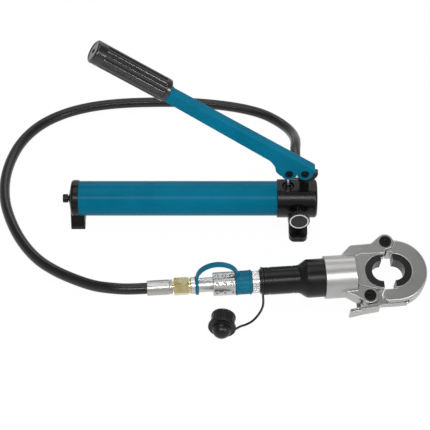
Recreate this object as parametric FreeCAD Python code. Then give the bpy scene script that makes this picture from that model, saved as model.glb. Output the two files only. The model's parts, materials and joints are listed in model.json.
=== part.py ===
import FreeCAD, Part
import math
import os

# Hydraulic pipe crimper: a hand pump on its feet, a high-pressure hose with a screw
# coupler, and a crimping head that lies on the same surface. Millimetres, +Z up.
# The origin is on the floor under the pump head's outlet and release valve.

# Fits
RUN = 0.05             # radial clearance of a running fit
SEAT = 0.02            # radial clearance of parts that are fixed in each other
FREE = 0.3             # gap between pieces that pass each other
PIN_FLOAT = 0.35       # height play of the lever pin in the plunger's slot
PAST = 200.0           # a cutting tool reaches this far, past everything it cuts

# Hand pump: reservoir
AXIS_H = 42.0          # height of the pump's axis above the floor
TUBE_R = 27.5
TUBE_WALL = 3.0
TUBE_LEN = 321.7       # whole length, with the part inside the rear cap
SOCKET = 10.0          # depth of the tube in the rear cap
CAP_R = 29.2
CAP_LEN = 17.5         # from the skirt's edge to the middle of the dome
CAP_DOME = 6.0
FOOT_HALF = 28.0       # half width of the rear foot
FOOT_X0 = 4.0          # the foot starts this far in from the dome's middle
FOOT_LEN = 22.0
FILLER_HEAD_R = 6.8
FILLER_HEAD_LEN = 8.4
FILLER_SHANK_R = 4.0
SUCTION_R = 3.0
SUCTION_DROP = 17.0    # suction pipe's place below the pump axis
SEAL_R = 1.2           # section radius of the reservoir's seals

# Hand pump: head block
HEAD_R = 30.4
HEAD_X0 = -33.3
HEAD_X1 = 30.8
HEAD_FLAT = 27.6       # height of the top flat above the axis
SPIGOT_LEN = 14.0
SEAL_X = HEAD_X0 - 6.0 # the front seal's place on the spigot
PORT_R = 7.5           # thread of the outlet
PORT_IN_Y = 18.0       # bottom of the outlet's thread
ARM_HALF = 14.5        # half width of the side feet
ARM_REACH = 56.0
ARM_TIP_H = 8.0
FOOT_PAD = 11.0        # half width of the flat pad under the middle of the head
FOOT_RELIEF = 3.5      # depth of the two hollows beside that pad
VALVE_BOSS_R = 10.5
VALVE_BOSS_Y = -43.0
PORT_BOSS_R = 13.0
PORT_BOSS_Y = 34.0
LUG_HALF = 5.2
LUG_EYE_R = 10.0
LUG_STEM_HALF = 7.0
LUG_NOSE_R = 20.6      # the lug's round nose, which stops the lever at the top

# Release valve
KNOB_R = 16.6
KNOB_FACE_R = 15.4
KNOB_Y = -52.0
KNOB_LEN = 8.0
KNOB_WALL = 3.0        # the stem ends this far behind the knob's face
STEM_R = 5.0
STEM_IN_Y = -12.0
BALL_R = 3.0

# Lever, plunger and their pins
PIVOT_X = 8.5
PIVOT_H = 60.5         # lever pivot above the pump axis
PIN_PITCH = 24.7       # from the pivot to the plunger pin
PIN_R = 4.0
PIN_HEAD_R = 6.0
PIN_HEAD_T = 2.4
LEVER_RISE = 35.5      # angle of the lever above horizontal at rest
LEVER_HALF = 8.5
LEVER_WALL = 2.8
LEVER_TOP = 14.6       # the channel's back, measured across from the pivot
LEVER_LEN = 258.0
EAR_R = 12.2
PLUNGER_R = 4.4
PLUNGER_BORE = 30.0    # bottom of the plunger's bore below the pump axis
EYE_T = 10.0
GLAND_R = 8.4
GLAND_TOP = 3.5
COUNTERBORE = 5.0      # the gland sits this far under the top flat
COUNTERBORE_R = 9.7
GLAND_THREAD_R = 7.0
GLAND_IN = 9.0         # depth of the gland's bore under its collar
GLAND_SEAL_T = 3.0
GRIP_R = 17.8
GRIP_GAP = 6.0         # bare core between the channel's end and the grip
GRIP_LEN = 128.0
GRIP_COLLAR = 9.0      # smooth length at the grip's front end
GRIP_END_T = 10.0      # closed end of the grip
GRIP_P = 9.0           # grip axis, across from the pivot
GRIP_CORE_R = 10.0
CORE_IN = 34.0         # length of the core inside the channel
FLUTES = 16
FLUTE_R = 2.3
GRIP_HOLE_R = 2.6      # vent in the grip's end

# Hose
HOSE_R = 8.5
FERRULE_R = 11.3
FERRULE_LEN = 38.0
BORE_R = 2.5           # oil way through the hose ends and the coupler
ADAPTOR_AF = 22.0
ADAPTOR_LEN = 12.0
LIFT = 0.1             # the hose's lowest skin above the floor

# Crimping head: its place on the floor. Its own frame has X along the axis towards the
# jaw, Y across in the jaw's plane and Z out of the upper face; 0 is between the dies.
TOOL_X = 129.5
TOOL_Y = -154.6
TOOL_H = 34.5
TOOL_YAW = 4.7
TOOL_ROLL = 20.0

# Crimping head: lengths along the axis
DIE_CENTRE = 8.0       # the fixed die's centre
STROKE = 17.5          # gap between the dies at rest
BLOCK_X0 = -49.0       # ram block's inner end
BARREL_X0 = -97.5
BARREL_X1 = -50.0
BIG_X0 = -124.1
NECK_X1 = -135.7
NECK_X0 = -189.0

# Crimping head: sizes across
HALF_T = 13.0          # half thickness of arms, ram block and jaw
CHEEK = 6.8            # thickness of a fork cheek
BARREL_R = 32.2
BIG_R = 29.0
NECK_R = 20.9
SPIGOT_R = 26.0
SPIGOT_IN = 23.0       # length of the cylinder inside the barrel
PISTON_R = 20.0
PISTON_LEN = 14.0
CYL_FLOOR = 8.5        # the bore's closed end, past the neck's shoulder
OIL_GAP = 0.5          # space behind the piston at rest
ROD_R = 12.0
SPRING_R = 15.2        # mean radius of the return spring
SPRING_WIRE_R = 1.6
SPRING_TURNS = 6
BLOCK_HALF = 28.4
BLOCK_SIDE = 0.5       # gap between the ram block and the arms
ARM_ROOT = 30.0        # the yoke's arms start this far inside the barrel's end
ARM_KNEE = 22.0
ARM_HIGH = 45.6        # the hinge arm's straight outer side
ARM_LOW = 26.0
FORK_RUN = 1.0         # a fork's slot runs this far past its boss
BLOCK_LOW_IN = 20.5    # half width of the block's inner end on the latch side
BLOCK_LOW_X = -22.0    # the block's slanted side ends here
BLOCK_HIGH_IN = 24.2   # half width of the inner end on the hinge side
ROD_IN = 10.0          # length of the rod inside the block
DIE_PIN_R = 3.0
DIE_PIN_IN = 4.0       # how far the moving die's pin goes into the rod's end
DIE_PIN_OUT = 5.0      # depth of the pin's hole in a die
JAW_PIN_IN = 8.0       # how far the fixed die's pin goes into the jaw
DIE_R = 26.5
DIE_BORE_R = 16.0
DIE_HALF_T = 12.5
DIE_EASE = 0.5         # chamfer at both ends of a die's bore
JAW_R = 50.0
JAW_PIN = (0.0, 47.0)
LATCH_PIN = (-33.0, -38.0)
HEAD_PIN_R = 7.6
PIN_CAP_R = 9.0        # head of the jaw's and the latch's pins
PIN_CAP_T = 2.2
BOSS_R = 12.6
RIM_EASE = 2.6         # chamfer round the jaw's rim
JAW_SIDE = 0.9         # gap between the ram block and the jaw's two ends
FOOT_X = 10.5          # reach of the jaw's free end, back past the hinge
SHOULDER = 6.0
GROOVE_FLOOR = -43.0   # floor of the groove in the jaw's rim for the latch
GROOVE_X1 = 26.5       # closed end of that groove
LATCH_GAP = 0.6        # gap between the latch and the groove's floor
TOOTH_X = 8.0          # the latch's tooth starts to rise here
TOOTH = 2.5
TOOTH_GAP = 2.5
TOOTH_SLOPE = 27.0
LATCH_NOSE = 19.0      # reach of the latch's shoulder towards the jaw's free end
LATCH_TIP_X = 23.6
LATCH_LOW = -51.6      # outer side of the latch's arm
TAIL_IN = 14.0         # the thumb tail starts this far ahead of the latch's pin
TAIL_OUT = 32.0        # and ends this far behind it
TAIL_TOP = -51.2       # inner side of the tail at its root, and at its end
TAIL_END = -57.6
TAIL_LOW = -57.0
TAIL_T = 5.2
THUMB_SPRING_X = -50.0 # place of the latch's spring
THUMB_SPRING_Y0 = -55.2
THUMB_SPRING_Y1 = -44.0
THUMB_SPRING_R = 2.7
THUMB_WIRE_R = 0.7

# Coupler: places along the tool's axis, then radii
FERRULE_X1 = -325.0
NUT_X0 = -322.9
NUT_X1 = -297.6
SLEEVE_X0 = -264.4
SLEEVE_X1 = -231.2
RING_X0 = -230.6
RING_X1 = -206.8
KNURL_X0 = -206.4
KNURL_X1 = -194.4
BODY_R = 10.9
BODY_FLANGE_R = 12.6
NUT_AF = 24.0
SLEEVE_R = 17.8
SLEEVE_BORE_R = 13.0
RING_R = 18.6
KNURL_R = 16.7
NIPPLE_R = 13.0
STRAP_RING_R = 21.6
POPPET_R = 4.6
POPPET_IN = 19.0       # depth of the poppets' bores from the split
SLEEVE_LIP = 4.0       # the sleeve's end wall, which pulls on the body's collar
SPLIT_X = SLEEVE_X0 + 13.0
BODY_X0 = NUT_X1 + 7.0 # end of the body's flange
NIPPLE_IN = 12.0       # length of the nipple inside the cylinder's neck
STRAP_NECK = 4.5       # width of the blue strap's ring on the body
ARCH_FOOT = 14.0       # the strap is straight up to here and a half oval above
RING_WALL = 3.6
DIMPLE_R = 5.5
DIMPLE_DEEP = 1.3
DIMPLE_ROWS = 3
DIMPLES = 8
ARCH_H = 44.0          # top of the blue strap above the coupler's axis
ARCH_W = 11.0
ARCH_T = 3.2

# Loose dust cap on the floor
CAP_X = -120.3
CAP_Y = -246.0
CAP_TURN = -97.0
CUP_R = 18.3
CUP_LEN = 18.8
CUP_WALL = 2.4
RIM_R = 20.5
RIM_T = 4.5
DOME_R = 13.8
DOME_NECK = 2.3
TETHER_R = 1.75
TETHER_END_R = 20.1    # distance of the tether's end from the loose cap's axis

# Lever travel below its rest place, which the plunger's slot and bore have to clear
LEVER_DOWN = 32.0

PIVOT_Z = AXIS_H + PIVOT_H
TUBE_IN_R = TUBE_R - TUBE_WALL
TUBE_X0 = HEAD_X0 - TUBE_LEN
CAP_X1 = TUBE_X0 + SOCKET
CAP_X0 = CAP_X1 - CAP_LEN
FLAT_Z = AXIS_H + HEAD_FLAT
GLAND_Z = FLAT_Z - COUNTERBORE
PLUNGER_X = PIVOT_X - PIN_PITCH
FERRULE_X0 = FERRULE_X1 - FERRULE_LEN
GAP_R = FREE * 0.5
GRIP_START = LEVER_LEN + GRIP_GAP


def vec(x, y, z):
    return FreeCAD.Vector(x, y, z)


X_AXIS = vec(1, 0, 0)
Y_AXIS = vec(0, 1, 0)
Z_AXIS = vec(0, 0, 1)


def rod(x0, x1, r, y=0.0, z=0.0):
    """Cylinder along X."""
    return Part.makeCylinder(r, x1 - x0, vec(x0, y, z), X_AXIS)


def rod_y(y0, y1, r, x=0.0, z=0.0):
    """Cylinder along Y."""
    return Part.makeCylinder(r, y1 - y0, vec(x, y0, z), Y_AXIS)


def rod_z(z0, z1, r, x=0.0, y=0.0):
    """Cylinder along Z."""
    return Part.makeCylinder(r, z1 - z0, vec(x, y, z0), Z_AXIS)


def block(x0, x1, y0, y1, z0, z1):
    return Part.makeBox(x1 - x0, y1 - y0, z1 - z0, vec(x0, y0, z0))


def rounded_wire(points):
    """Closed wire in the XY plane; each point is (x, y, corner radius)."""
    edges = []
    ends = []
    count = len(points)
    for i, (x, y, r) in enumerate(points):
        here = vec(x, y, 0)
        before = vec(points[i - 1][0], points[i - 1][1], 0)
        after = vec(points[(i + 1) % count][0], points[(i + 1) % count][1], 0)
        if r <= 0:
            ends.append((here, None, here))
            continue
        a = (before - here).normalize()
        b = (after - here).normalize()
        half = a.getAngle(b) / 2
        cut = r / math.tan(half)
        middle = (a + b).normalize()
        top = here + middle * (r / math.sin(half) - r)
        ends.append((here + a * cut, top, here + b * cut))
    for i, (start, top, stop) in enumerate(ends):
        if top is not None:
            edges.append(Part.Arc(start, top, stop).toShape())
        following = ends[(i + 1) % count][0]
        if stop.distanceToPoint(following) > 1e-6:
            edges.append(Part.LineSegment(stop, following).toShape())
    return Part.Wire(edges)


def plate(points, z0, z1):
    """Plate from a rounded outline in XY, between two heights."""
    face = Part.Face(rounded_wire(points))
    face.translate(vec(0, 0, z0))
    return face.extrude(vec(0, 0, z1 - z0))


def upright(points, y0, y1):
    """Plate from a rounded outline in XZ, between two Y places."""
    solid = plate(points, 0, y1 - y0)
    solid.rotate(vec(0, 0, 0), X_AXIS, 90)
    solid.translate(vec(0, y1, 0))
    return solid


def turned(points):
    """Solid of revolution about X; each point is (x, radius, corner radius)."""
    face = Part.Face(rounded_wire(points))
    return face.revolve(vec(0, 0, 0), X_AXIS, 360)


def hexagon(x0, x1, flats):
    """Hexagonal bar along X with chamfered ends."""
    corner = flats / math.sqrt(3)
    ring = [vec(x0, corner * math.cos(math.pi / 3 * k), corner * math.sin(math.pi / 3 * k))
            for k in range(7)]
    bar = Part.Face(Part.makePolygon(ring)).extrude(vec(x1 - x0, 0, 0))
    ease = corner - flats / 2
    drum = turned([(x0, 0, 0), (x1, 0, 0), (x1, flats / 2, 0), (x1 - ease * 0.6, corner, 0),
                   (x0 + ease * 0.6, corner, 0), (x0, flats / 2, 0)])
    return bar.common(drum)


def ring_x(x, r, section):
    """Round seal about the X axis."""
    return Part.makeTorus(r, section, vec(x, 0, 0), X_AXIS)


def at_pump(solid):
    """Lift a piece made on the X axis to the pump's axis."""
    solid.translate(vec(0, 0, AXIS_H))
    return solid


def on_floor(solid, roll=TOOL_ROLL):
    """Carry a piece from the tool's own frame to its place on the floor."""
    solid.rotate(vec(0, 0, 0), X_AXIS, roll)
    solid.rotate(vec(0, 0, 0), Z_AXIS, TOOL_YAW)
    solid.translate(vec(TOOL_X, TOOL_Y, TOOL_H))
    return solid


def lever_point(s, p, r=0.0):
    """Point of the lever's outline: s along it from the pivot, p across it."""
    a = math.radians(LEVER_RISE)
    x = PIVOT_X - s * math.cos(a) + p * math.sin(a)
    z = PIVOT_Z + s * math.sin(a) + p * math.cos(a)
    return (x, z, r)


def along_lever(solid, p=0.0):
    """Turn a piece made on the X axis to lie along the lever, from the pivot."""
    solid.rotate(vec(0, 0, 0), Y_AXIS, 180 + LEVER_RISE)
    x, z, r = lever_point(0, p)
    solid.translate(vec(x, 0, z))
    return solid


# Reservoir

def reservoir_tube():
    tube = rod(TUBE_X0, HEAD_X0, TUBE_R)
    return at_pump(tube.cut(rod(TUBE_X0, HEAD_X0, TUBE_IN_R)))


def rear_cap():
    body = turned([(CAP_X0, 0, 0), (CAP_X0 + CAP_DOME, CAP_R, 5.0), (CAP_X1, CAP_R, 1.0),
                   (CAP_X1, 0, 0)])
    plug = rod(CAP_X1 - SOCKET, CAP_X1 + 4, TUBE_IN_R - SEAT)
    groove = rod(CAP_X1, CAP_X1 + 2 * SEAL_R, TUBE_IN_R).cut(
        rod(CAP_X1, CAP_X1 + 2 * SEAL_R, TUBE_IN_R - 2 * SEAL_R))
    socket = rod(TUBE_X0, CAP_X1 + 1, TUBE_R + SEAT).cut(rod(TUBE_X0, CAP_X1 + 1, TUBE_IN_R - SEAT))
    foot_x = CAP_X0 + FOOT_X0
    foot = plate([(-FOOT_HALF, 0, 1.5), (FOOT_HALF, 0, 1.5), (FOOT_HALF, 7, 3),
                  (FOOT_HALF * 0.72, 24, 8), (FOOT_HALF * 0.6, 36, 0),
                  (-FOOT_HALF * 0.6, 36, 0), (-FOOT_HALF * 0.72, 24, 8),
                  (-FOOT_HALF, 7, 3)], 0, FOOT_LEN)
    arch = plate([(-FOOT_HALF * 0.5, -1, 0), (FOOT_HALF * 0.5, -1, 0),
                  (FOOT_HALF * 0.4, 4, 3), (-FOOT_HALF * 0.4, 4, 3)], -1, FOOT_LEN + 1)
    foot = foot.cut(arch)
    foot.rotate(vec(0, 0, 0), vec(1, 1, 1), 120)
    foot.translate(vec(foot_x, 0, -AXIS_H))
    body = body.fuse(foot)
    saddle = rod(CAP_X1, foot_x + FOOT_LEN, TUBE_R + SEAT)
    body = body.cut(saddle).cut(socket).fuse(plug).cut(groove)
    hole = rod(CAP_X0 - 1, CAP_X1 + 5, FILLER_SHANK_R + RUN)
    return at_pump(body.cut(hole).removeSplitter())


def filler_screw():
    head_x = CAP_X0 - FILLER_HEAD_LEN
    neck = CAP_X0 + CAP_LEN - 2
    under = CAP_X0 - GAP_R
    screw = turned([(head_x, 0, 0), (head_x, FILLER_HEAD_R, 1.0), (under, FILLER_HEAD_R, 0.6),
                    (under, FILLER_SHANK_R, 0), (neck, FILLER_SHANK_R, 1.0), (neck, 0, 0)])
    slot = block(head_x - 1, head_x + 2, -1, 1, -FILLER_HEAD_R - 1, FILLER_HEAD_R + 1)
    screw = screw.cut(slot)
    for k in range(12):
        notch = rod(head_x - 1, head_x + FILLER_HEAD_LEN * 0.7, 0.9, 0, FILLER_HEAD_R + 0.3)
        notch.rotate(vec(0, 0, 0), X_AXIS, 30 * k)
        screw = screw.cut(notch)
    return at_pump(screw)


def suction_pipe():
    x0 = CAP_X1 + 24
    pipe = rod(x0, HEAD_X0 - 4, SUCTION_R, 0, -SUCTION_DROP)
    return at_pump(pipe.cut(rod(x0, HEAD_X0 - 4, SUCTION_R - 1, 0, -SUCTION_DROP)))


def suction_filter():
    x0 = CAP_X1 + 16
    body = rod(x0, x0 + 22, 2 * SUCTION_R, 0, -SUCTION_DROP)
    hole = rod(x0 + 8, x0 + 22, SUCTION_R + SEAT, 0, -SUCTION_DROP)
    return at_pump(body.cut(hole))


def reservoir_seals():
    r = TUBE_IN_R - SEAL_R
    rear = ring_x(CAP_X1 + SEAL_R, r, SEAL_R - SEAT)
    front = ring_x(SEAL_X, r, SEAL_R - SEAT)
    return at_pump(Part.makeCompound([rear, front]))


# Head block

def foot_arms():
    """The two side feet, one casting with the head block."""
    side = [(-ARM_REACH, 0, 1.5), (ARM_REACH, 0, 1.5), (ARM_REACH, ARM_TIP_H, 3),
            (ARM_REACH * 0.62, ARM_TIP_H + 7, 14), (HEAD_R * 0.86, AXIS_H - 6, 10),
            (0, AXIS_H + 4, 0), (-HEAD_R * 0.86, AXIS_H - 6, 10),
            (-ARM_REACH * 0.62, ARM_TIP_H + 7, 14), (-ARM_REACH, ARM_TIP_H, 3)]
    arms = plate(side, -ARM_HALF, ARM_HALF)
    arms.rotate(vec(0, 0, 0), vec(1, 1, 1), 120)
    plan = plate([(-ARM_HALF, -ARM_REACH, 11), (ARM_HALF, -ARM_REACH, 11),
                  (ARM_HALF, ARM_REACH, 11), (-ARM_HALF, ARM_REACH, 11)], -1, AXIS_H + 10)
    arms = arms.common(plan)
    for y0, y1 in ((-ARM_REACH * 0.52, -FOOT_PAD), (FOOT_PAD, ARM_REACH * 0.52)):
        arms = arms.cut(block(-ARM_HALF - 1, ARM_HALF + 1, y0, y1, -1, FOOT_RELIEF))
    return arms


def fulcrum_lug():
    """Upright on the head block: a stem under the pivot and a round nose behind it."""
    z = PIVOT_Z
    x0 = PIVOT_X - LUG_EYE_R
    nose = rod_y(-LUG_HALF, LUG_HALF, LUG_NOSE_R, PIVOT_X, z)
    nose = nose.common(upright([(x0, FLAT_Z, 0), (PAST, FLAT_Z, 0), (PAST, z - LUG_NOSE_R, 0),
                                (PIVOT_X + LUG_NOSE_R, z - 2.6, 0), (PIVOT_X + 6, z - 0.5, 3),
                                (x0, z - 0.5, 0)], -LUG_HALF, LUG_HALF))
    stem = upright([(PIVOT_X - LUG_STEM_HALF, FLAT_Z - 4, 0), (PIVOT_X + LUG_STEM_HALF, FLAT_Z - 4, 0),
                    (PIVOT_X + LUG_STEM_HALF, z - 12, 0), (PIVOT_X - LUG_STEM_HALF, z - 12, 0)],
                   -LUG_HALF, LUG_HALF)
    eye = rod_y(-LUG_HALF, LUG_HALF, LUG_EYE_R, PIVOT_X, z)
    return nose.fuse([stem, eye])


def pump_head():
    body = turned([(HEAD_X0, 0, 0), (HEAD_X0, HEAD_R, 1.2), (HEAD_X1 - 1.6, HEAD_R, 4.5),
                   (HEAD_X1, 0, 0)])
    body = body.cut(block(HEAD_X0 - 1, HEAD_X1 + 1, -HEAD_R, HEAD_R, HEAD_FLAT, HEAD_R + 2))
    spigot = rod(HEAD_X0 - SPIGOT_LEN, HEAD_X0 + 1, TUBE_IN_R - SEAT)
    groove = rod(SEAL_X - SEAL_R, SEAL_X + SEAL_R, TUBE_IN_R).cut(
        rod(SEAL_X - SEAL_R, SEAL_X + SEAL_R, TUBE_IN_R - 2 * SEAL_R))
    body = body.fuse(spigot).cut(groove)
    body = body.fuse(rod_y(VALVE_BOSS_Y, 0, VALVE_BOSS_R))
    body = body.fuse(rod_y(0, PORT_BOSS_Y, PORT_BOSS_R))
    body = at_pump(body).fuse(foot_arms()).fuse(fulcrum_lug())
    z = AXIS_H
    body = body.cut(rod_y(-LUG_HALF - 1, LUG_HALF + 1, PIN_R + RUN, PIVOT_X, PIVOT_Z))
    body = body.cut(rod_z(z - PLUNGER_BORE, FLAT_Z + 1, PLUNGER_R + RUN, PLUNGER_X))
    body = body.cut(rod_z(GLAND_Z, FLAT_Z + 1, COUNTERBORE_R, PLUNGER_X))
    body = body.cut(rod_z(GLAND_Z - GLAND_IN, FLAT_Z + 1, GLAND_THREAD_R + SEAT, PLUNGER_X))
    body = body.cut(rod_y(VALVE_BOSS_Y - 1, STEM_IN_Y, STEM_R + RUN, 0, z))
    body = body.cut(rod_y(STEM_IN_Y - 1, STEM_IN_Y + 2 * BALL_R + 0.5, BALL_R + RUN, 0, z))
    body = body.cut(rod_y(PORT_IN_Y, PORT_BOSS_Y + 1, PORT_R + SEAT, 0, z))
    suction = rod(HEAD_X0 - SPIGOT_LEN - 1, HEAD_X0 - 4, SUCTION_R + SEAT, 0, z - SUCTION_DROP)
    return body.cut(suction).removeSplitter()


def gland_nut():
    """Screwed collar that holds the plunger's seal."""
    nut = rod_z(GLAND_Z - GLAND_IN + GLAND_SEAL_T + 0.2, GLAND_Z, GLAND_THREAD_R, PLUNGER_X)
    collar = hexagon(0, GLAND_TOP, 2 * GLAND_R * 0.88)
    collar.rotate(vec(0, 0, 0), Y_AXIS, -90)
    collar.translate(vec(PLUNGER_X, 0, GLAND_Z))
    return nut.fuse(collar).cut(rod_z(0, PAST, PLUNGER_R + RUN, PLUNGER_X))


def plunger_seal():
    seal = rod_z(GLAND_Z - GLAND_IN, GLAND_Z - GLAND_IN + GLAND_SEAL_T, GLAND_THREAD_R, PLUNGER_X)
    return seal.cut(rod_z(0, PAST, PLUNGER_R + RUN, PLUNGER_X))


def plunger():
    """Pump plunger with a slotted eye, so that the pin's arc doesn't bend it."""
    down = PIN_PITCH * math.sin(math.radians(LEVER_DOWN))
    bottom = AXIS_H - PLUNGER_BORE + down + 2
    body = rod_z(bottom, PIVOT_Z - 6, PLUNGER_R, PLUNGER_X)
    shift = PIN_PITCH * (1 - math.cos(math.radians(LEVER_DOWN))) + 0.2
    x0 = PLUNGER_X - PIN_R - 3.6
    x1 = PLUNGER_X + shift + PIN_R + 2.8
    eye = upright([(x0, PIVOT_Z - 8, 5), (x1, PIVOT_Z - 8, 5), (x1, PIVOT_Z + 8, 7),
                   (x0, PIVOT_Z + 8, 7)], -EYE_T / 2, EYE_T / 2)
    h = PIN_R + PIN_FLOAT
    slot = upright([(PLUNGER_X - h, PIVOT_Z - h, h - 0.1), (PLUNGER_X + shift + h, PIVOT_Z - h, h - 0.1),
                    (PLUNGER_X + shift + h, PIVOT_Z + h, h - 0.1), (PLUNGER_X - h, PIVOT_Z + h, h - 0.1)],
                   -EYE_T, EYE_T)
    return body.fuse(eye).cut(slot).removeSplitter()


# Release valve

def release_knob():
    y1 = KNOB_Y + KNOB_LEN
    knob = turned([(KNOB_Y, 0, 0), (KNOB_Y, KNOB_FACE_R, 0.8), (KNOB_Y + 2.5, KNOB_R, 1.0),
                   (y1, KNOB_R - 0.8, 1.0), (y1, 0, 0)])
    for k in range(18):
        flute = rod(KNOB_Y - 1, y1 + 1, 1.1, 0, KNOB_R + 0.35)
        flute.rotate(vec(0, 0, 0), X_AXIS, 20 * k)
        knob = knob.cut(flute)
    knob = knob.cut(rod(KNOB_Y + KNOB_WALL, y1 + 1, STEM_R - 1 + SEAT))
    knob.rotate(vec(0, 0, 0), Z_AXIS, 90)
    return at_pump(knob)


def release_stem():
    y1 = KNOB_Y + KNOB_LEN
    y0 = KNOB_Y + KNOB_WALL
    stem = turned([(y0, 0, 0), (y0, STEM_R - 1, 0), (y1, STEM_R - 1, 0), (y1, STEM_R, 0),
                   (STEM_IN_Y - 3, STEM_R, 0), (STEM_IN_Y, 1.5, 0), (STEM_IN_Y, 0, 0)])
    stem.rotate(vec(0, 0, 0), Z_AXIS, 90)
    return at_pump(stem)


def release_ball():
    return Part.makeSphere(BALL_R, vec(0, STEM_IN_Y + BALL_R + 0.1, AXIS_H))


# Lever

def lever_channel():
    """Bent sheet channel: back, two sides and the ears that hold both pins."""
    outline = [lever_point(-11, LEVER_TOP, 4), lever_point(LEVER_LEN, LEVER_TOP, 0),
               lever_point(LEVER_LEN, -4.4, 0), lever_point(60, -9.6, 14),
               lever_point(47, -15, 8), lever_point(39.5, -22.5, 7), lever_point(28, -25.8, 8),
               lever_point(19.5, -20, 0), lever_point(6, -6, 0), lever_point(-7, -6, 4),
               lever_point(-11, 2, 5)]
    solid = upright(outline, -LEVER_HALF, LEVER_HALF)
    solid = solid.fuse(rod_y(-LEVER_HALF, LEVER_HALF, EAR_R, PIVOT_X, PIVOT_Z))
    solid = solid.fuse(rod_y(-LEVER_HALF, LEVER_HALF, EAR_R, PLUNGER_X, PIVOT_Z))
    inner = LEVER_HALF - LEVER_WALL
    top = LEVER_TOP - LEVER_WALL
    hollow = upright([lever_point(-60, top), lever_point(LEVER_LEN + 10, top),
                      lever_point(LEVER_LEN + 10, -60), lever_point(-60, -60)], -inner, inner)
    solid = solid.cut(hollow).removeSplitter()
    backs = []
    for edge in solid.Edges:
        ends = [v.Point for v in edge.Vertexes]
        if len(ends) < 2 or edge.Length < LEVER_LEN * 0.8:
            continue
        if abs(abs(ends[0].y) - LEVER_HALF) > 0.01 or abs(ends[0].y - ends[1].y) > 0.01:
            continue
        x, z, r = lever_point(0, LEVER_TOP)
        across = (ends[0].x - x) * math.sin(math.radians(LEVER_RISE))
        across += (ends[0].z - z) * math.cos(math.radians(LEVER_RISE))
        if abs(across) < 0.05:
            backs.append(edge)
    solid = solid.makeFillet(LEVER_WALL * 0.75, backs)
    for x in (PIVOT_X, PLUNGER_X):
        solid = solid.cut(rod_y(-LEVER_HALF - 1, LEVER_HALF + 1, PIN_R + SEAT, x, PIVOT_Z))
    return solid


def grip_core():
    """Steel bar welded in the end of the channel, under the grip."""
    top = LEVER_TOP - LEVER_WALL
    flat = LEVER_HALF - LEVER_WALL
    x0 = LEVER_LEN - CORE_IN
    x1 = GRIP_START + GRIP_LEN - GRIP_END_T
    bar = turned([(x0, 0, 0), (x0, GRIP_CORE_R, 3), (x1, GRIP_CORE_R, 2), (x1, 0, 0)])
    low = block(x0 - 1, LEVER_LEN + 0.1, -flat + SEAT, flat - SEAT, -PAST, PAST)
    stub = bar.common(low)
    stub = stub.cut(block(x0 - 1, LEVER_LEN + 1, -PAST, PAST, -PAST, GRIP_P - top + SEAT))
    bar = bar.cut(block(x0 - 1, LEVER_LEN + 0.1, -PAST, PAST, -PAST, PAST)).fuse(stub)
    return along_lever(bar, GRIP_P)


def lever_grip():
    end = GRIP_START + GRIP_LEN
    grip = turned([(GRIP_START, 0, 0), (GRIP_START, GRIP_R, 2.5), (end, GRIP_R, 3.5), (end, 0, 0)])
    flute_x0 = GRIP_START + GRIP_COLLAR
    flute_x1 = end - GRIP_END_T
    for k in range(FLUTES):
        a = 2 * math.pi * k / FLUTES
        y = (GRIP_R + FLUTE_R * 0.35) * math.cos(a)
        z = (GRIP_R + FLUTE_R * 0.35) * math.sin(a)
        flute = rod(flute_x0, flute_x1, FLUTE_R, y, z)
        tips = [Part.makeSphere(FLUTE_R, vec(x, y, z)) for x in (flute_x0, flute_x1)]
        grip = grip.cut(flute.fuse(tips))
    grip = grip.cut(rod(GRIP_START - 1, flute_x1, GRIP_CORE_R + SEAT))
    grip = grip.cut(rod(flute_x1 - 1, end + 1, GRIP_HOLE_R))
    return along_lever(grip, GRIP_P)


def lever_pin(x):
    """Headed pin across the lever, with a groove for its clip."""
    tail = LEVER_HALF + 4.0
    pin = turned([(-LEVER_HALF - PIN_HEAD_T, 0, 0), (-LEVER_HALF - PIN_HEAD_T, PIN_HEAD_R, 0.9),
                  (-LEVER_HALF, PIN_HEAD_R, 0), (-LEVER_HALF, PIN_R, 0), (tail, PIN_R, 0.8),
                  (tail, 0, 0)])
    groove = rod(LEVER_HALF + 0.4, LEVER_HALF + 1.6, PIN_R + 1).cut(
        rod(LEVER_HALF + 0.4, LEVER_HALF + 1.6, PIN_R - 0.8))
    dimple = rod(-LEVER_HALF - PIN_HEAD_T - 1, -LEVER_HALF - PIN_HEAD_T + 1.2, 2.6)
    pin = pin.cut(groove).cut(dimple)
    pin.rotate(vec(0, 0, 0), Z_AXIS, 90)
    pin.translate(vec(x, 0, PIVOT_Z))
    return pin


def lever_clips():
    clips = []
    for x in (PIVOT_X, PLUNGER_X):
        clip = rod_y(LEVER_HALF + 0.45, LEVER_HALF + 1.55, PIN_R + 2.2, x, PIVOT_Z)
        clip = clip.cut(rod_y(LEVER_HALF, LEVER_HALF + 3, PIN_R - 0.75, x, PIVOT_Z))
        clip = clip.cut(block(x - 1.6, x + 1.6, LEVER_HALF, LEVER_HALF + 3, PIVOT_Z, PIVOT_Z + 8))
        clips.append(clip)
    return Part.makeCompound(clips)


# Hose and its pump end

def outlet_adaptor():
    x0 = PORT_IN_Y + 2
    x1 = PORT_BOSS_Y + ADAPTOR_LEN
    bar = hexagon(PORT_BOSS_Y, x1, ADAPTOR_AF).fuse(rod(x0, PORT_BOSS_Y, PORT_R))
    bar = bar.cut(rod(x0 - 1, x1 + 1, BORE_R))
    bar.rotate(vec(0, 0, 0), Z_AXIS, 90)
    return at_pump(bar)


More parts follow.
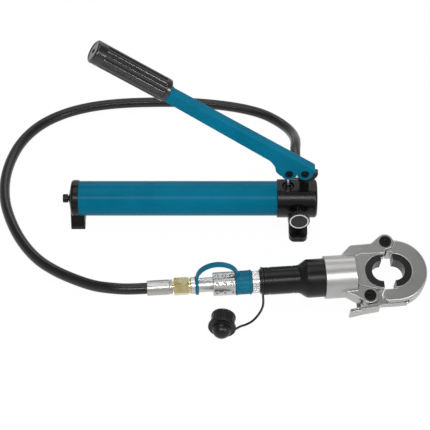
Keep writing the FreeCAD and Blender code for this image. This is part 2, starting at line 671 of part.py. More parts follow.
def ferrule(x0):
    """Crimped hose end with rolled grooves."""
    body = turned([(x0, 0, 0), (x0, FERRULE_R, 1.6), (x0 + FERRULE_LEN, FERRULE_R, 1.6),
                   (x0 + FERRULE_LEN, 0, 0)])
    for k in range(4):
        x = x0 + FERRULE_LEN * (0.24 + 0.16 * k)
        band = rod(x - 1.2, x + 1.2, FERRULE_R + 1).cut(rod(x - 1.2, x + 1.2, FERRULE_R - 0.5))
        body = body.cut(band)
    return body.cut(rod(x0 - 1, x0 + FERRULE_LEN + 1, BORE_R))


def hose_ferrule_pump():
    body = ferrule(PORT_BOSS_Y + ADAPTOR_LEN)
    body.rotate(vec(0, 0, 0), Z_AXIS, 90)
    return at_pump(body)


def hose_ferrule_tool():
    return on_floor(ferrule(FERRULE_X0))


def tool_point(x, y=0.0, z=0.0):
    """A point of the tool's own frame, on the floor plan."""
    a = math.radians(TOOL_YAW)
    b = math.radians(TOOL_ROLL)
    y, z = y * math.cos(b) - z * math.sin(b), y * math.sin(b) + z * math.cos(b)
    return (TOOL_X + x * math.cos(a) - y * math.sin(a),
            TOOL_Y + x * math.sin(a) + y * math.cos(a), TOOL_H + z)


def soft_route(name, points, r):
    """Tube along straight runs joined by tangent arcs; prints its radii and volume."""
    nodes = [vec(*p) for p in points]
    edges = []
    radii = []
    start = nodes[0]
    for i in range(1, len(nodes) - 1):
        back = nodes[i - 1] - nodes[i]
        ahead = nodes[i + 1] - nodes[i]
        shorter = min(back.Length, ahead.Length)
        a = vec(*back).normalize()
        b = vec(*ahead).normalize()
        half_turn = (math.pi - a.getAngle(b)) / 2
        radius = 0.45 * shorter / math.tan(half_turn)
        cut = 0.45 * shorter
        middle = (a + b).normalize()
        top = nodes[i] + middle * (radius / math.cos(half_turn) - radius)
        edges.append(Part.LineSegment(start, nodes[i] + a * cut).toShape())
        edges.append(Part.Arc(nodes[i] + a * cut, top, nodes[i] + b * cut).toShape())
        start = nodes[i] + b * cut
        radii.append(round(radius, 1))
    edges.append(Part.LineSegment(start, nodes[-1]).toShape())
    path = Part.Wire(edges)
    first = (nodes[1] - nodes[0]).normalize()
    profile = Part.Wire([Part.makeCircle(r, nodes[0], first)])
    tube = path.makePipeShell([profile], True, True)
    expected = math.pi * r * r * path.Length
    print(name, "radii", radii)
    print(name, "length", round(path.Length, 1), "volume ratio", round(tube.Volume / expected, 4),
          "lowest", round(tube.BoundBox.ZMin, 2))
    return tube


def hose():
    z = HOSE_R + LIFT
    y0 = PORT_BOSS_Y + ADAPTOR_LEN + FERRULE_LEN
    route = [(0, y0, AXIS_H), (0, y0 + 28, AXIS_H), (3, y0 + 56, 34.5), (2, 168, 23),
             (-6, 196, 14.5), (-23, 221.5, 9.4), (-49, 243, z), (-88, 258, z), (-138, 268, z),
             (-190, 273, z), (-243, 273, z), (-296, 270, z), (-346, 261, z), (-391, 243, z),
             (-429, 214, z), (-456, 173, z), (-470, 126, z), (-475, 77, z), (-470, 28, z),
             (-455, -19, z), (-434, -63, z), (-407, -101, 9.6), (-377, -128, 12.5),
             (-345, -151, 18), (-313, -171.5, 25.5), (-285, -182.3, 32.2),
             tool_point(FERRULE_X0 - 26), tool_point(FERRULE_X0)]
    return soft_route("hose", route, HOSE_R)


# Coupler

def swivel_nut():
    nut = hexagon(NUT_X0, NUT_X1 - 3, NUT_AF)
    neck = rod(FERRULE_X1, NUT_X0, BODY_R * 0.72)
    collar = turned([(NUT_X1 - 3, 0, 0), (NUT_X1 - 3, NUT_AF / 2 - 0.6, 0),
                     (NUT_X1, NUT_AF / 2 - 0.6, 0.8), (NUT_X1, 0, 0)])
    return on_floor(nut.fuse([neck, collar]).cut(rod(FERRULE_X1 - 1, NUT_X1 + 1, BORE_R)), 0)


def coupler_body():
    """Hose half of the coupler, with a flange that the screw sleeve pulls on."""
    r = SLEEVE_BORE_R - RUN
    body = turned([(NUT_X1, 0, 0), (NUT_X1, BODY_FLANGE_R, 0.8), (BODY_X0, BODY_FLANGE_R, 0.8),
                   (BODY_X0, BODY_R, 0), (SLEEVE_X0 + SLEEVE_LIP, BODY_R, 0),
                   (SLEEVE_X0 + SLEEVE_LIP, r, 0), (SPLIT_X, r, 0), (SPLIT_X, 0, 0)])
    bore = rod(NUT_X1 - 1, SPLIT_X + 1, BORE_R)
    bore = bore.fuse(rod(SPLIT_X - POPPET_IN, SPLIT_X + 1, POPPET_R + RUN))
    return on_floor(body.cut(bore), 0)


def coupler_sleeve():
    sleeve = turned([(SLEEVE_X0, 0, 0), (SLEEVE_X0, SLEEVE_R, 1.4), (SLEEVE_X1, SLEEVE_R, 1.4),
                     (SLEEVE_X1, 0, 0)])
    sleeve = sleeve.cut(rod(SLEEVE_X0 - 1, SLEEVE_X1 + 1, BODY_R + RUN))
    sleeve = sleeve.cut(rod(SLEEVE_X0 + SLEEVE_LIP - FREE, SLEEVE_X1 + 1, SLEEVE_BORE_R))
    for row in range(DIMPLE_ROWS):
        x = SLEEVE_X0 + (SLEEVE_X1 - SLEEVE_X0) * (0.16 + 0.34 * row)
        for k in range(DIMPLES):
            a = 2 * math.pi * k / DIMPLES
            r = SLEEVE_R + DIMPLE_R - DIMPLE_DEEP
            ball = Part.makeSphere(DIMPLE_R, vec(x, r * math.cos(a), r * math.sin(a)))
            sleeve = sleeve.cut(ball)
    return on_floor(sleeve, 0)


def coupler_nipple():
    """Tool half of the coupler, screwed into the tool's neck."""
    x0 = SPLIT_X + FREE
    x1 = NECK_X0 + NIPPLE_IN
    body = turned([(x0, 0, 0), (x0, NIPPLE_R - RUN, 0), (KNURL_X0, NIPPLE_R - RUN, 0),
                   (KNURL_X0, BODY_R, 0), (x1, BODY_R, 1.0), (x1, 0, 0)])
    bore = rod(x0 - 1, x1 + 1, BORE_R).fuse(rod(x0 - 1, x0 + POPPET_IN, POPPET_R + RUN))
    return on_floor(body.cut(bore), 0)


def coupler_poppets():
    """The two valves that close when the halves part."""
    poppets = []
    room = POPPET_IN - 4
    for x0, x1 in ((SPLIT_X - room, SPLIT_X - 0.2), (SPLIT_X + FREE + 0.2, SPLIT_X + room)):
        poppets.append(turned([(x0, 0, 0), (x0, POPPET_R, 1.5), (x1, POPPET_R, 1.5), (x1, 0, 0)]))
    return on_floor(Part.makeCompound(poppets), 0)


def knurled_nut():
    nut = turned([(KNURL_X0, 0, 0), (KNURL_X0, KNURL_R, 1.2), (KNURL_X1, KNURL_R, 1.2),
                  (KNURL_X1, 0, 0)])
    for k in range(30):
        groove = rod(KNURL_X0 + 2, KNURL_X1 - 2, 0.9, 0, KNURL_R + 0.3)
        groove.rotate(vec(0, 0, 0), X_AXIS, 12 * k)
        nut = nut.cut(groove)
    return on_floor(nut.cut(rod(KNURL_X0 - 1, KNURL_X1 + 1, BODY_R + SEAT)), 0)


def arch_form(x0, x1, top):
    """Half oval on straight legs in the XZ plane, as wide across as the strap."""
    middle = (x0 + x1) / 2
    wide = (x1 - x0) / 2
    oval = Part.Face(Part.Wire([Part.Ellipse(vec(middle, ARCH_FOOT, 0), wide, top - ARCH_FOOT).toShape()]))
    solid = oval.extrude(vec(0, 0, ARCH_W))
    solid = solid.cut(block(x0 - 1, x1 + 1, -PAST, ARCH_FOOT, -1, ARCH_W + 1))
    solid = solid.fuse(block(x0, x1, BODY_R - 2, ARCH_FOOT, 0, ARCH_W))
    solid.rotate(vec(0, 0, 0), X_AXIS, 90)
    solid.translate(vec(0, ARCH_W / 2, 0))
    return solid


def blue_cap():
    """Moulded dust cap: thick ring, arched strap and the ring that holds it."""
    ring = turned([(RING_X0, 0, 0), (RING_X0, RING_R, 1.6), (RING_X1, RING_R, 1.6), (RING_X1, 0, 0)])
    for k in range(24):
        rib = rod(RING_X0 + 3, RING_X1 - 3, 0.7, 0, RING_R + 0.3)
        rib.rotate(vec(0, 0, 0), X_AXIS, 15 * k)
        ring = ring.cut(rib)
    ring = ring.cut(rod(RING_X0 - 1, RING_X1 + 1, NIPPLE_R + SEAT))
    neck = rod(BODY_X0, BODY_X0 + STRAP_NECK, BODY_R + RING_WALL)
    left = BODY_X0 + 0.5
    right = RING_X0 + ARCH_T + 2
    strap = arch_form(left, right, ARCH_H).cut(arch_form(left + ARCH_T, right - ARCH_T, ARCH_H - ARCH_T))
    cap = ring.fuse([neck, strap])
    cap = cap.cut(rod(RING_X0 - 0.5, RING_X1 + 5, NIPPLE_R + SEAT))
    return on_floor(cap.cut(rod(BODY_X0 - 3, BODY_X0 + STRAP_NECK + 2, BODY_R + SEAT)), 0)


# Crimping head: cylinder and ram

def ram_cylinder():
    body = turned([(NECK_X0, 0, 0), (NECK_X0, NECK_R, 1.2), (NECK_X1, NECK_R, 3),
                   (BIG_X0, BIG_R, 3), (BARREL_X0, BIG_R, 0), (BARREL_X0, SPIGOT_R, 0),
                   (BARREL_X0 + SPIGOT_IN, SPIGOT_R, 0.8), (BARREL_X0 + SPIGOT_IN, 0, 0)])
    bore_x0 = NECK_X1 + CYL_FLOOR
    body = body.cut(rod(bore_x0, BARREL_X0 + SPIGOT_IN + 1, PISTON_R + RUN))
    body = body.cut(rod(NECK_X0 + NIPPLE_IN, bore_x0 + 1, BORE_R))
    body = body.cut(rod(NECK_X0 - 1, NECK_X0 + NIPPLE_IN, BODY_R + SEAT))
    for x in (NECK_X0 + 9, NECK_X1 - 9):
        band = rod(x - 1, x + 1, NECK_R + 1).cut(rod(x - 1, x + 1, NECK_R - 0.6))
        body = body.cut(band)
    return on_floor(body)


def piston_x0():
    return NECK_X1 + CYL_FLOOR + OIL_GAP


def ram_piston():
    """Piston and rod in one piece, screwed into the ram block."""
    x0 = piston_x0()
    body = turned([(x0, 0, 0), (x0, PISTON_R, 1.0), (x0 + PISTON_LEN, PISTON_R, 0.5),
                   (x0 + PISTON_LEN, ROD_R, 0), (BLOCK_X0 + ROD_IN, ROD_R, 1.0),
                   (BLOCK_X0 + ROD_IN, 0, 0)])
    groove = rod(x0 + 4, x0 + 8, PISTON_R + 1).cut(rod(x0 + 4, x0 + 8, PISTON_R - 2.4))
    hole = rod(BLOCK_X0 + ROD_IN - DIE_PIN_IN, BLOCK_X0 + ROD_IN + 1, DIE_PIN_R + SEAT)
    return on_floor(body.cut(groove).cut(hole))


def piston_seal():
    x0 = piston_x0()
    return on_floor(rod(x0 + 4.1, x0 + 7.9, PISTON_R).cut(rod(x0 + 4, x0 + 8, PISTON_R - 2.3)))


def spring_coils(x0, x1, mean_r, wire_r, turns):
    """Round coils side by side with open space, as flat rings joined by short bars."""
    pitch = (x1 - x0 - 2 * wire_r) / (turns - 1)
    rings = [Part.makeTorus(mean_r, wire_r, vec(x0 + wire_r + pitch * k, 0, 0), X_AXIS)
             for k in range(turns)]
    solid = rings[0]
    for k in range(turns - 1):
        a = math.pi * k
        x = x0 + wire_r + pitch * k
        tie = rod(x, x + pitch, wire_r * 0.8, mean_r * math.cos(a), mean_r * math.sin(a))
        solid = solid.fuse([tie, rings[k + 1]])
    return solid


def return_spring():
    """Coil round the rod that pulls the ram back."""
    x0 = piston_x0() + PISTON_LEN + 0.1
    x1 = BARREL_X0 + SPIGOT_IN
    return on_floor(spring_coils(x0, x1, SPRING_R, SPRING_WIRE_R, SPRING_TURNS))


def yoke():
    """Forged yoke: threaded barrel, hinge arm above and latch arm below."""
    barrel = turned([(BARREL_X0, 0, 0), (BARREL_X0, BARREL_R, 1.5), (BARREL_X1, BARREL_R, 2.0),
                     (BARREL_X1, 0, 0)])
    inner = BLOCK_HALF + BLOCK_SIDE
    px, py = JAW_PIN
    upper = plate([(BARREL_X1 - ARM_ROOT, 0, 0), (BARREL_X1 - ARM_KNEE, 27, 4),
                   (BARREL_X1 - 4, ARM_HIGH - 0.8, 9), (px - ARM_KNEE, ARM_HIGH, 8),
                   (px - 8, py + 10, 0), (px + 2, py, 0),
                   (px - 2, inner, 0), (BARREL_X1 - 3, BLOCK_LOW_IN - 6, 0), (BARREL_X1 - 8, 0, 0)],
                  -HALF_T, HALF_T)
    upper = upper.fuse(rod_z(-HALF_T, HALF_T, BOSS_R, px, py))
    qx, qy = LATCH_PIN
    edge = (BOSS_R - 0.4) * math.sqrt(0.5)
    lower = plate([(BARREL_X1 - ARM_ROOT, 0, 0), (BARREL_X1 - 8, 0, 0),
                   (BARREL_X1 + 1, 6 - BLOCK_LOW_IN, 0), (BLOCK_LOW_X, -inner, 0), (qx + 8, qy, 0),
                   (qx, qy - 8, 0), (qx - edge, qy - edge, 0), (BARREL_X1 - ARM_KNEE, -ARM_LOW, 6)],
                  -HALF_T, HALF_T)
    lower = lower.fuse(rod_z(-HALF_T, HALF_T, BOSS_R - 0.4, qx, qy))
    body = barrel.fuse([upper, lower])
    body = body.cut(plate(block_outline(BLOCK_SIDE, PAST, 2.6), -BARREL_R, BARREL_R))
    slot = HALF_T - CHEEK
    body = body.cut(block(px - BOSS_R * 1.5, PAST, inner - 2, PAST, -slot, slot))
    body = body.cut(block(qx - BOSS_R - FORK_RUN, PAST, -PAST, -BLOCK_LOW_IN, -slot, slot))
    body = body.cut(rod_z(-PAST, PAST, HEAD_PIN_R + SEAT, px, py))
    body = body.cut(rod_z(-PAST, PAST, HEAD_PIN_R + SEAT, qx, qy))
    body = body.cut(rod(BARREL_X0 - 1, BARREL_X0 + SPIGOT_IN + SEAT, SPIGOT_R + SEAT))
    body = body.cut(rod(BARREL_X0, BARREL_X1 + 1, ROD_R + RUN))
    pocket = rod_y(THUMB_SPRING_Y1 - 14, THUMB_SPRING_Y1, THUMB_SPRING_R + 1.3, THUMB_SPRING_X)
    return on_floor(body.cut(pocket).removeSplitter())


def block_outline(gap, x1, corner):
    """Outline of the ram block with a gap round it, as far as x1."""
    x0 = BLOCK_X0 - gap
    return [(x0, -BLOCK_LOW_IN - gap, corner), (BLOCK_LOW_X, -BLOCK_HALF - gap, corner),
            (x1, -BLOCK_HALF - gap, 0), (x1, BLOCK_HALF + gap, 0),
            (x0 + 9, BLOCK_HALF + gap, corner), (x0, BLOCK_HIGH_IN + gap, corner)]


def ram_block():
    """Steel block on the rod's end, with the half-round seat of the moving die."""
    x1 = DIE_CENTRE - STROKE
    body = plate(block_outline(0, x1 - 0.4, 3.0), -HALF_T, HALF_T)
    body = body.cut(rod_z(-HALF_T - 1, HALF_T + 1, DIE_R + SEAT, x1))
    body = body.cut(rod(BLOCK_X0 - 1, BLOCK_X0 + ROD_IN + SEAT, ROD_R + SEAT))
    hole = rod(BLOCK_X0 + ROD_IN - 1, x1 - DIE_R + 1, DIE_PIN_R + SEAT)
    return on_floor(body.cut(hole).removeSplitter())


def half_die(side):
    """Half die with a round bore; side is -1 for the moving one and 1 for the fixed one."""
    centre = DIE_CENTRE if side > 0 else DIE_CENTRE - STROKE
    die = rod_z(-DIE_HALF_T, DIE_HALF_T, DIE_R, centre)
    die = die.cut(rod_z(-DIE_HALF_T - 1, DIE_HALF_T + 1, DIE_BORE_R, centre))
    wide = DIE_BORE_R + DIE_EASE
    die = die.cut(Part.makeCone(DIE_BORE_R, wide, DIE_EASE, vec(centre, 0, DIE_HALF_T - DIE_EASE), Z_AXIS))
    die = die.cut(Part.makeCone(wide, DIE_BORE_R, DIE_EASE, vec(centre, 0, -DIE_HALF_T), Z_AXIS))
    x0, x1 = (-PAST, 0.1) if side > 0 else (-0.1, PAST)
    die = die.cut(block(centre + x0, centre + x1, -PAST, PAST, -PAST, PAST))
    edge = centre + side * DIE_R
    return on_floor(die.cut(rod(edge - DIE_PIN_OUT, edge + DIE_PIN_OUT, DIE_PIN_R + SEAT)))


def die_pin(side):
    """Spring pin that keeps a half die in its seat."""
    centre = DIE_CENTRE if side > 0 else DIE_CENTRE - STROKE
    edge = centre + side * DIE_R
    x0 = edge - DIE_PIN_OUT + 0.5 if side > 0 else BLOCK_X0 + ROD_IN - DIE_PIN_IN
    x1 = edge + JAW_PIN_IN if side > 0 else edge + DIE_PIN_OUT - 0.5
    return on_floor(rod(x0, x1, DIE_PIN_R))


# Crimping head: jaw and latch

def c_jaw():
    """Curved jaw that swings open on the upper pin and is held by the latch."""
    px, py = JAW_PIN
    c = DIE_CENTRE
    lip = BLOCK_HALF + JAW_SIDE
    disc = rod_z(-HALF_T, HALF_T, JAW_R, c)
    disc = disc.makeChamfer(RIM_EASE, [e for e in disc.Edges if len(e.Vertexes) == 1])
    disc = disc.common(block(c, c + JAW_R + 1, -JAW_R, JAW_R, -HALF_T, HALF_T))
    foot = plate([(px - FOOT_X, -lip, 1.5), (c, -lip, 0), (c, -JAW_R, 0), (px - 5, -JAW_R, 5),
                  (px - FOOT_X - 1, -JAW_R + 5, 4)], -HALF_T, HALF_T)
    eased = [(-lip, -HALF_T), (-lip, HALF_T), (-JAW_R + RIM_EASE, HALF_T), (-JAW_R, HALF_T - RIM_EASE),
             (-JAW_R, RIM_EASE - HALF_T), (-JAW_R + RIM_EASE, -HALF_T), (-lip, -HALF_T)]
    profile = Part.Face(Part.makePolygon([vec(px - 20, y, z) for y, z in eased]))
    foot = foot.common(profile.extrude(vec(c - px + 20, 0, 0)))
    shoulder = block(px, c, lip, lip + SHOULDER, -HALF_T, HALF_T)
    body = disc.fuse([foot, shoulder])
    body = body.cut(rod_z(-HALF_T - 1, HALF_T + 1, BOSS_R + FREE, px, py))
    slot = HALF_T - CHEEK
    half_tongue = slot - 0.15
    tongue = rod_z(-half_tongue, half_tongue, BOSS_R - 0.5, px, py)
    web = block(px, px + BOSS_R * 1.9, lip, py + 2, -half_tongue, half_tongue)
    body = body.fuse(tongue.fuse(web))
    body = body.cut(rod_z(-PAST, PAST, HEAD_PIN_R + RUN, px, py))
    body = body.cut(rod_z(-HALF_T - 1, HALF_T + 1, DIE_R + SEAT, c).common(
        block(c - 1, PAST, -PAST, PAST, -PAST, PAST)))
    groove = plate([(-PAST, GROOVE_FLOOR, 0), (GROOVE_X1, GROOVE_FLOOR, 1), (GROOVE_X1, -PAST, 0),
                    (-PAST, -PAST, 0)], -slot, slot)
    body = body.cut(groove)
    x0 = TOOTH_X - TOOTH_GAP
    low = GROOVE_FLOOR - LATCH_GAP
    high = GROOVE_FLOOR + TOOTH + LATCH_GAP
    notch = plate([(x0, low, 0), (GROOVE_X1, low, 0), (GROOVE_X1, high, 0),
                   (x0 + (high - low) / math.tan(math.radians(TOOTH_SLOPE)), high, 0)], -slot, slot)
    body = body.cut(notch)
    hole = rod(c + DIE_R - 1, c + DIE_R + JAW_PIN_IN + FREE, DIE_PIN_R + SEAT)
    return on_floor(body.cut(hole).removeSplitter())


def head_pin(place):
    """Headed pin through a fork, with a countersunk centre."""
    x, y = place
    top = HALF_T + PIN_CAP_T
    low = -HALF_T - 1.2
    pin = turned([(low, 0, 0), (low, HEAD_PIN_R - 1.0, 0), (low + 1.0, HEAD_PIN_R, 0),
                  (HALF_T, HEAD_PIN_R, 0), (HALF_T, PIN_CAP_R, 0), (top, PIN_CAP_R, 1.2), (top, 0, 0)])
    pin.rotate(vec(0, 0, 0), Y_AXIS, -90)
    pin.translate(vec(x, y, 0))
    centre = Part.makeCone(0.6, 2.8, 1.6, vec(x, y, top - 1.6), Z_AXIS)
    return on_floor(pin.cut(centre))


def latch():
    """Rocking latch: tongue in the fork, tooth towards the jaw and wide thumb tail."""
    qx, qy = LATCH_PIN
    half = HALF_T - CHEEK - 0.15
    top = GROOVE_FLOOR - LATCH_GAP
    rise = TOOTH + LATCH_GAP
    run = rise / math.tan(math.radians(TOOTH_SLOPE))
    arm = plate([(qx, qy + 7, 0), (qx + LATCH_NOSE, qy + 7, 2), (qx + LATCH_NOSE, top, 1.5), (TOOTH_X, top, 0),
                 (TOOTH_X + run, top + rise, 0), (LATCH_TIP_X, top + rise, 0.8),
                 (LATCH_TIP_X, LATCH_LOW, 2), (qx + 4, LATCH_LOW - 1, 4), (qx - 6, TAIL_LOW, 0),
                 (qx - 8, qy, 0)], -half, half)
    hub = rod_z(-half, half, BOSS_R - 1.2, qx, qy)
    end = qx - TAIL_OUT
    tail = plate([(qx + TAIL_IN, TAIL_TOP, 1), (qx + TAIL_IN, TAIL_TOP - TAIL_T, 1.5),
                  (qx - 10, TAIL_LOW - 1.8, 0), (end, TAIL_END - TAIL_T, 1.5), (end, TAIL_END, 1.5),
                  (qx - 8, TAIL_TOP - 2.4, 4), (qx + 1, TAIL_TOP, 2)], -HALF_T + 1, HALF_T - 1)
    slot = block(end - 1, qx - 6, TAIL_END - 2.0, TAIL_END - 0.8, 3.5, HALF_T)
    seat = rod_y(THUMB_SPRING_Y0, THUMB_SPRING_Y0 + 6, THUMB_SPRING_R + 1.1, THUMB_SPRING_X)
    body = arm.fuse([hub, tail])
    body = body.cut([slot, seat])
    return on_floor(body.cut(rod_z(-PAST, PAST, HEAD_PIN_R + RUN, qx, qy)).removeSplitter())


def latch_spring():
    """Coil between the latch arm and the tail."""
    high = THUMB_SPRING_Y1 - THUMB_SPRING_Y0 - 0.1
    coil = spring_coils(0, high, THUMB_SPRING_R, THUMB_WIRE_R, 5)
    coil.rotate(vec(0, 0, 0), Z_AXIS, 90)
    coil.translate(vec(THUMB_SPRING_X, THUMB_SPRING_Y0, 0))
    return on_floor(coil)


# Loose dust cap

def strap_ring():
    ring = rod(KNURL_X1 + 0.2, NECK_X0, STRAP_RING_R - 3).cut(rod(KNURL_X1, NECK_X0 + 1, BODY_R + SEAT))
    lip = rod(NECK_X0 - 3, NECK_X0, STRAP_RING_R).cut(rod(NECK_X0 - 4, NECK_X0 + 1, BODY_R + SEAT))
    return on_floor(ring.fuse(lip).removeSplitter(), 0)


def black_cap():
    cap = turned([(-CUP_LEN, 0, 0), (-CUP_LEN, CUP_R, 1.2), (0, CUP_R, 0), (0, RIM_R, 1.2),
                  (RIM_T, RIM_R, 1.2), (RIM_T, DOME_R, 0),
                  (RIM_T + DOME_NECK, DOME_R, 0), (RIM_T + DOME_NECK, 0, 0)])
    cap = cap.fuse(Part.makeSphere(DOME_R, vec(RIM_T + DOME_NECK, 0, 0)))
    cap = cap.cut(rod(-CUP_LEN - 1, RIM_T - CUP_WALL, CUP_R - CUP_WALL))
    cap.rotate(vec(0, 0, 0), Z_AXIS, CAP_TURN)
    cap.translate(vec(CAP_X, CAP_Y, RIM_R))
    return cap.removeSplitter()


def tether():
    """Thin strap from the ring on the tool's neck to the loose cap's rim."""
    x, y, z = tool_point(NECK_X0 - 1.5)
    drop = math.radians(40)
    sx = x + STRAP_RING_R * math.cos(drop) * math.sin(math.radians(TOOL_YAW))
    sy = y - STRAP_RING_R * math.cos(drop)
    sz = z - STRAP_RING_R * math.sin(drop)
    low = TETHER_R + LIFT
    route = [(sx, sy, sz), (sx + 1.1, sy - 7, sz - 6.6), (sx - 1.5, sy - 14.2, 6),
             (sx - 8.2, sy - 23.8, low), (sx - 16, sy - 34.2, low), (sx - 25.9, sy - 42.8, 4),
             (CAP_X + 25.8, CAP_Y + 8.5, 9.5),
             (CAP_X + TETHER_END_R * 0.96, CAP_Y - 1.55, RIM_R - TETHER_END_R * 0.28)]
    return soft_route("tether", route, TETHER_R)


NODES = {
    "reservoir_tube": reservoir_tube,
    "rear_cap": rear_cap,
    "filler_screw": filler_screw,
    "suction_pipe": suction_pipe,
    "suction_filter": suction_filter,
    "reservoir_seals": reservoir_seals,
    "pump_head": pump_head,
    "gland_nut": gland_nut,
    "plunger_seal": plunger_seal,
    "plunger": plunger,
    "release_knob": release_knob,
    "release_stem": release_stem,
    "release_ball": release_ball,
    "lever_channel": lever_channel,
    "grip_core": grip_core,
    "lever_grip": lever_grip,
    "fulcrum_pin": lambda: lever_pin(PIVOT_X),
    "plunger_pin": lambda: lever_pin(PLUNGER_X),
    "lever_clips": lever_clips,
    "outlet_adaptor": outlet_adaptor,
    "hose_ferrule_pump": hose_ferrule_pump,
    "hose": hose,
    "hose_ferrule_tool": hose_ferrule_tool,
    "swivel_nut": swivel_nut,
    "coupler_body": coupler_body,
    "coupler_sleeve": coupler_sleeve,
    "coupler_nipple": coupler_nipple,
    "coupler_poppets": coupler_poppets,
    "knurled_nut": knurled_nut,
    "blue_dust_cap": blue_cap,
    "strap_ring": strap_ring,
    "black_dust_cap": black_cap,
    "cap_tether": tether,
    "ram_cylinder": ram_cylinder,
    "ram_piston": ram_piston,
    "piston_seal": piston_seal,
    "return_spring": return_spring,
    "yoke": yoke,
    "ram_block": ram_block,
    "moving_die": lambda: half_die(-1),
    "fixed_die": lambda: half_die(1),
    "moving_die_pin": lambda: die_pin(-1),
    "fixed_die_pin": lambda: die_pin(1),
    "c_jaw": c_jaw,
    "jaw_pin": lambda: head_pin(JAW_PIN),
    "latch_pin": lambda: head_pin(LATCH_PIN),
    "latch": latch,
    "latch_spring": latch_spring,
}


def main():
    os.makedirs("parts", exist_ok=True)
    for name, make in NODES.items():
        shape = make()
        if not shape.isValid():
            print("invalid", name)
        solids = len(shape.Solids)
        box = shape.BoundBox
        print(name, "solids", solids, "volume", round(shape.Volume),
              "z", round(box.ZMin, 2), round(box.ZMax, 2))
        shape.exportStep("parts/" + name + ".step")


main()
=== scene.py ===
import bmesh
import bpy
import json
import math
from mathutils import Matrix, Vector


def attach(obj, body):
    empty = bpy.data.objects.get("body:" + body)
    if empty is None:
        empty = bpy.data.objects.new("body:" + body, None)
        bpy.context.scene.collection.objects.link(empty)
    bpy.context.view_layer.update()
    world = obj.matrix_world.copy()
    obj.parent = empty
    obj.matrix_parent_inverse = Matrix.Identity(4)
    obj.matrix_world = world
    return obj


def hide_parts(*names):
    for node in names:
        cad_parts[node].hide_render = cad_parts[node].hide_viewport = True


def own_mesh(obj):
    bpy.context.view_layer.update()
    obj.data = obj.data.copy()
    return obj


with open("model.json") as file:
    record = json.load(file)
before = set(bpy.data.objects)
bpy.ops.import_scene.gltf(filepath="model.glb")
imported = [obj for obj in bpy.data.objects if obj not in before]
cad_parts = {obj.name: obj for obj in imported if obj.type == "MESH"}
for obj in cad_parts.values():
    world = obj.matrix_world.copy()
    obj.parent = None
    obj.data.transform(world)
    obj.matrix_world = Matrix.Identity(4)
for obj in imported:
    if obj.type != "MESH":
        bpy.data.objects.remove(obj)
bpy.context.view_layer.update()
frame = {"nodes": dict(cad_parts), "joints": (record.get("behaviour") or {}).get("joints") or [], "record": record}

# Places from the frame: the crimping head's own axes and the pump's pivots
JOINTS = {j["name"]: j for j in frame["joints"]}
MOUNTS = {m["name"]: m for m in frame["record"]["mounts"]}
MM = 0.001
TOOL_A = Vector(JOINTS["ram_slide"]["axis"]).normalized()
TOOL_N = Vector(JOINTS["jaw_swing"]["axis"]).normalized()
TOOL_B = TOOL_N.cross(TOOL_A)
FIXED_DIE_X = 8.0
TOOL_ORIGIN = Vector(MOUNTS["die_bore"]["pos_m"]) - TOOL_A * FIXED_DIE_X * MM
PUMP_H = JOINTS["release_turn"]["pos_m"][2]
PIVOT = Vector(JOINTS["lever_hinge"]["pos_m"])

# Camera, at the photograph's angle
CAMERA_AT = (-0.1308, -1.5828, 1.5875)
CAMERA_TILT = math.radians(45.0)
SENSOR = 36.0
LENS = 117.2


# Shader groups that more than one finish uses

def new_group(name, inputs, outputs):
    """An empty node group with these sockets: the group, its input node and its output node."""
    group = bpy.data.node_groups.new(name, "ShaderNodeTree")
    for label, kind, value in inputs:
        socket = group.interface.new_socket(label, in_out="INPUT", socket_type=kind)
        if value is not None:
            socket.default_value = value
    for label, kind in outputs:
        group.interface.new_socket(label, in_out="OUTPUT", socket_type=kind)
    start = group.nodes.new("NodeGroupInput")
    stop = group.nodes.new("NodeGroupOutput")
    return group, start, stop


def math_node(nodes, operation, first=None, second=None):
    """A math node, with constants on the sockets that take no link."""
    node = nodes.new("ShaderNodeMath")
    node.operation = operation
    if first is not None:
        node.inputs[0].default_value = first
    if second is not None:
        node.inputs[1].default_value = second
    return node


def edge_wear_and_shine_group():
    """Mask of outer edges, broken up by noise: worn edges, and on forgings partly a painted highlight along the
    rims.
    """
    group, start, stop = new_group("edge wear", [
        ("Vector", "NodeSocketVector", None), ("Radius", "NodeSocketFloat", 0.0008),
        ("Amount", "NodeSocketFloat", 0.5), ("Breakup", "NodeSocketFloat", 220.0)],
        [("Mask", "NodeSocketFloat")])
    nodes, links = group.nodes, group.links
    bevel = nodes.new("ShaderNodeBevel")
    bevel.samples = 6
    links.new(start.outputs["Radius"], bevel.inputs["Radius"])
    surface = nodes.new("ShaderNodeNewGeometry")
    dot = nodes.new("ShaderNodeVectorMath")
    dot.operation = "DOT_PRODUCT"
    links.new(bevel.outputs[0], dot.inputs[0])
    links.new(surface.outputs["Normal"], dot.inputs[1])
    turn = math_node(nodes, "SUBTRACT", first=1.0)
    links.new(dot.outputs["Value"], turn.inputs[1])
    lift = math_node(nodes, "MULTIPLY", second=9.0)
    links.new(turn.outputs[0], lift.inputs[0])
    noise = nodes.new("ShaderNodeTexNoise")
    noise.inputs["Detail"].default_value = 4.0
    links.new(start.outputs["Vector"], noise.inputs["Vector"])
    links.new(start.outputs["Breakup"], noise.inputs["Scale"])
    ramp = nodes.new("ShaderNodeMapRange")
    ramp.inputs["From Min"].default_value = 0.42
    ramp.inputs["From Max"].default_value = 0.62
    links.new(noise.outputs[0], ramp.inputs["Value"])
    both = math_node(nodes, "MULTIPLY")
    links.new(lift.outputs[0], both.inputs[0])
    links.new(ramp.outputs["Result"], both.inputs[1])
    scaled = math_node(nodes, "MULTIPLY")
    scaled.use_clamp = True
    links.new(both.outputs[0], scaled.inputs[0])
    links.new(start.outputs["Amount"], scaled.inputs[1])
    links.new(scaled.outputs[0], stop.inputs["Mask"])
    return group


